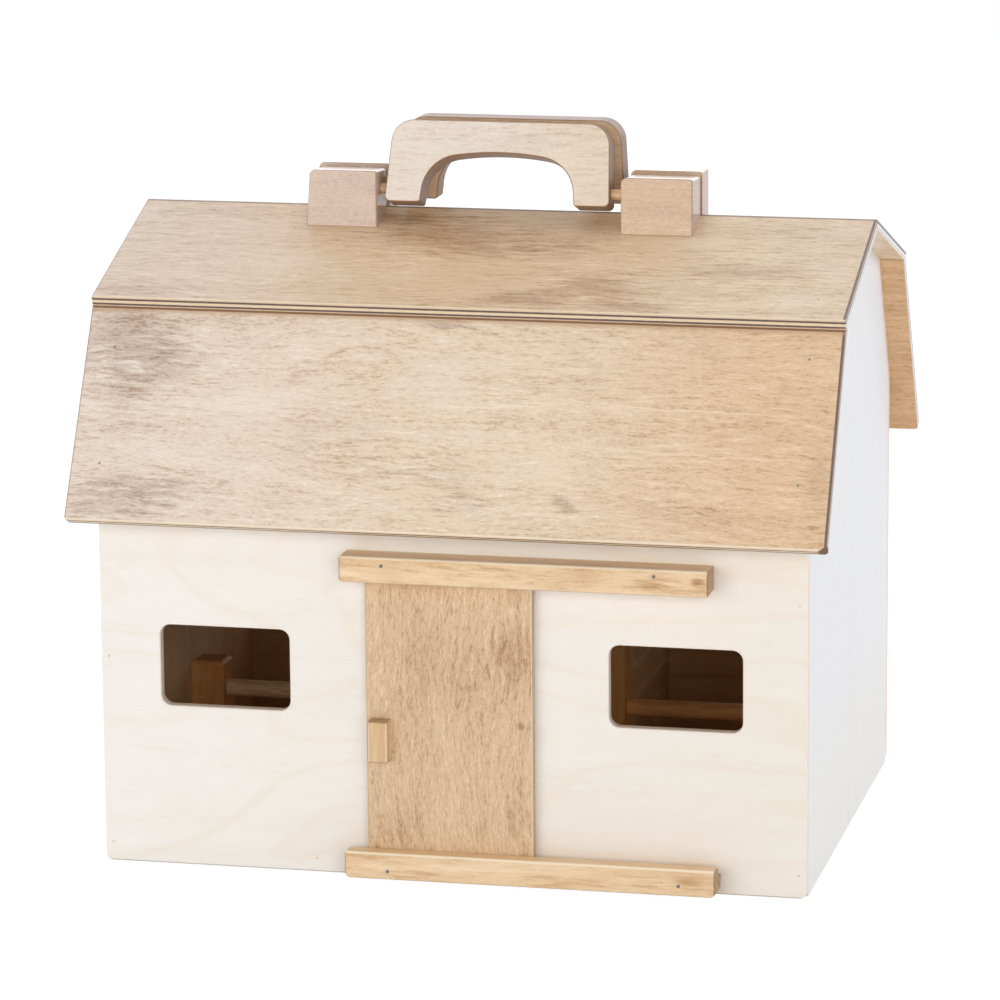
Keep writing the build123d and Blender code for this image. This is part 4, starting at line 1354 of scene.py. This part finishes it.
@dataclass
class Studio:
    """A white table and backdrop, soft lamps and the camera.

    Attributes:
        camera_place: Where the camera stands.
        yaw: The camera's turn from +Y towards +X.
        pitch: How far it looks down.
        roll: Its tilt about its own axis.
        lens: Focal length, in millimetres.
        sensor: The sensor's width, in millimetres.
        shift: The frame's shift, in frame widths.
        clip: The nearest and farthest distances that the camera sees.
        sky: Strength of the even light from all round.
        sky_colour: That light's linear colour.
        table_reach: How far the table reaches from the barn.
        table_gap: How far it lies below the barn's feet.
        table_grey: The share of light that it scatters.
        table_glow: Its own brightness to rays that see it.
        table_share: How much of its look is that glow.
        aim: What the lamps point at.
        lamps: The lamps: low and wide in front, one overhead, and cool ones to the right and behind.
    """

    camera_place: tuple[float, float, float] = (0.6421, -2.8379, 0.8263)
    yaw: float = -0.2198
    pitch: float = 0.2098
    roll: float = -0.0072
    lens: float = 183.18
    sensor: float = 36.0
    shift: tuple[float, float] = (-0.01904, -0.03397)
    clip: tuple[float, float] = (0.05, 50.0)
    sky: float = 0.28
    sky_colour: Colour = (1.0, 0.995, 0.985)
    table_reach: float = 6.0
    table_gap: float = 0.0002
    table_grey: float = 0.82
    table_glow: float = 1.1
    table_share: float = 0.88
    aim: tuple[float, float, float] = (0.0, 0.0, 0.2)
    lamps: tuple[Lamp, ...] = (
        Lamp("front_lamp", (-1.2, -3.1, 0.8), (2.6, 1.6), 0.32, WARM),
        Lamp("front_right_lamp", (1.3, -3.0, 0.9), (1.8, 1.6), 0.23, WARM),
        Lamp("overhead_lamp", (0.0, 0.3, 2.6), (2.4, 2.4), 0.38, (0.98, 0.99, 1.02)),
        Lamp("right_lamp", (3.2, 0.4, 1.3), (2.4, 1.6), 0.32, COOL),
        Lamp("rear_lamp", (0.0, 3.2, 1.45), (4.2, 2.4), 0.43, (0.94, 0.98, 1.06), mirrored=True),
        Lamp("left_lamp", (-3.2, 0.8, 1.0), (2.4, 1.6), 0.4, WARM))

    def camera(self) -> None:
        """Sets up the camera."""
        data = bpy.data.cameras.new("portrait_camera")
        data.lens, data.sensor_width = self.lens, self.sensor
        data.shift_x, data.shift_y = self.shift
        data.clip_start, data.clip_end = self.clip
        forward = Vector((math.sin(self.yaw) * math.cos(self.pitch),
                          math.cos(self.yaw) * math.cos(self.pitch), -math.sin(self.pitch)))
        level = Vector((math.cos(self.yaw), -math.sin(self.yaw), 0.0))
        upright = level.cross(forward)
        right = math.cos(self.roll) * level + math.sin(self.roll) * upright
        up = -math.sin(self.roll) * level + math.cos(self.roll) * upright
        turn = Matrix((right, up, -forward)).transposed().to_4x4()
        camera = bpy.data.objects.new("portrait_camera", data)
        camera.matrix_world = Matrix.Translation(self.camera_place) @ turn
        bpy.context.scene.collection.objects.link(camera)
        bpy.context.scene.camera = camera

    def blended(self, graph: Graph, share: float, plain: bpy.types.Node, seen: bpy.types.Node,
                out: str) -> None:
        """Ends a tree in one shader for light, and another for the rays that see it.

        Args:
            graph: The tree.
            share: How much of the second shader those rays get.
            plain: The first shader.
            seen: The second shader.
            out: The output node's type name.
        """
        path = graph.node("ShaderNodeLightPath").outputs
        mirrored = graph.maths("MAXIMUM", path["Is Glossy Ray"], path["Is Transmission Ray"])
        sees = graph.maths("MAXIMUM", path["Is Camera Ray"], mirrored)
        mix = graph.node("ShaderNodeMixShader", {
            0: graph.maths("MULTIPLY", sees, share), 1: plain.outputs[0], 2: seen.outputs[0]})
        graph.node(out, {"Surface": mix.outputs[0]})

    def world(self) -> None:
        """Surrounds the barn with even soft light, and shows a plain pale backdrop."""
        world = bpy.data.worlds.new("white_room")
        bpy.context.scene.world = world
        graph = Graph(world)
        soft = graph.node("ShaderNodeBackground", {"Color": self.sky_colour, "Strength": self.sky})
        self.blended(graph, 1.0, soft, graph.node("ShaderNodeBackground"), "ShaderNodeOutputWorld")

    def table(self) -> None:
        """Lays the white table, which keeps a faint shadow of the barn."""
        mesh = bpy.data.meshes.new("white_table")
        signs = ((-1, -1), (1, -1), (1, 1), (-1, 1))
        mesh.from_pydata([(self.table_reach * x, self.table_reach * y, 0.0) for x, y in signs], [],
                         [range(len(signs))])
        table = bpy.data.objects.new("white_table", mesh)
        table.location.z = -self.table_gap
        bpy.context.scene.collection.objects.link(table)
        material = bpy.data.materials.new("white_table")
        graph = Graph(material)
        diffuse = graph.node("ShaderNodeBsdfDiffuse", {"Color": (self.table_grey,) * 3})
        glow = graph.node("ShaderNodeEmission", {"Strength": self.table_glow})
        self.blended(graph, self.table_share, diffuse, glow, "ShaderNodeOutputMaterial")
        mesh.materials.append(material)

    def build(self) -> None:
        """Builds the studio."""
        self.camera()
        self.world()
        self.table()
        for lamp in self.lamps:
            lamp.hang(Vector(self.aim))
        bpy.context.scene.view_settings.view_transform = "Standard"
        LOG.info("the studio is lit")


def main() -> None:
    """Dresses the barn, sub-assembly by sub-assembly, and lights it."""
    logging.basicConfig(level=logging.INFO, format="%(name)s: %(message)s")
    for part in (House(), Roof(), Door(), Handles(), Stalls(), Hardware()):
        part.dress()
    Studio().build()
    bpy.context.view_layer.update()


if __name__ == "__main__":
    main()
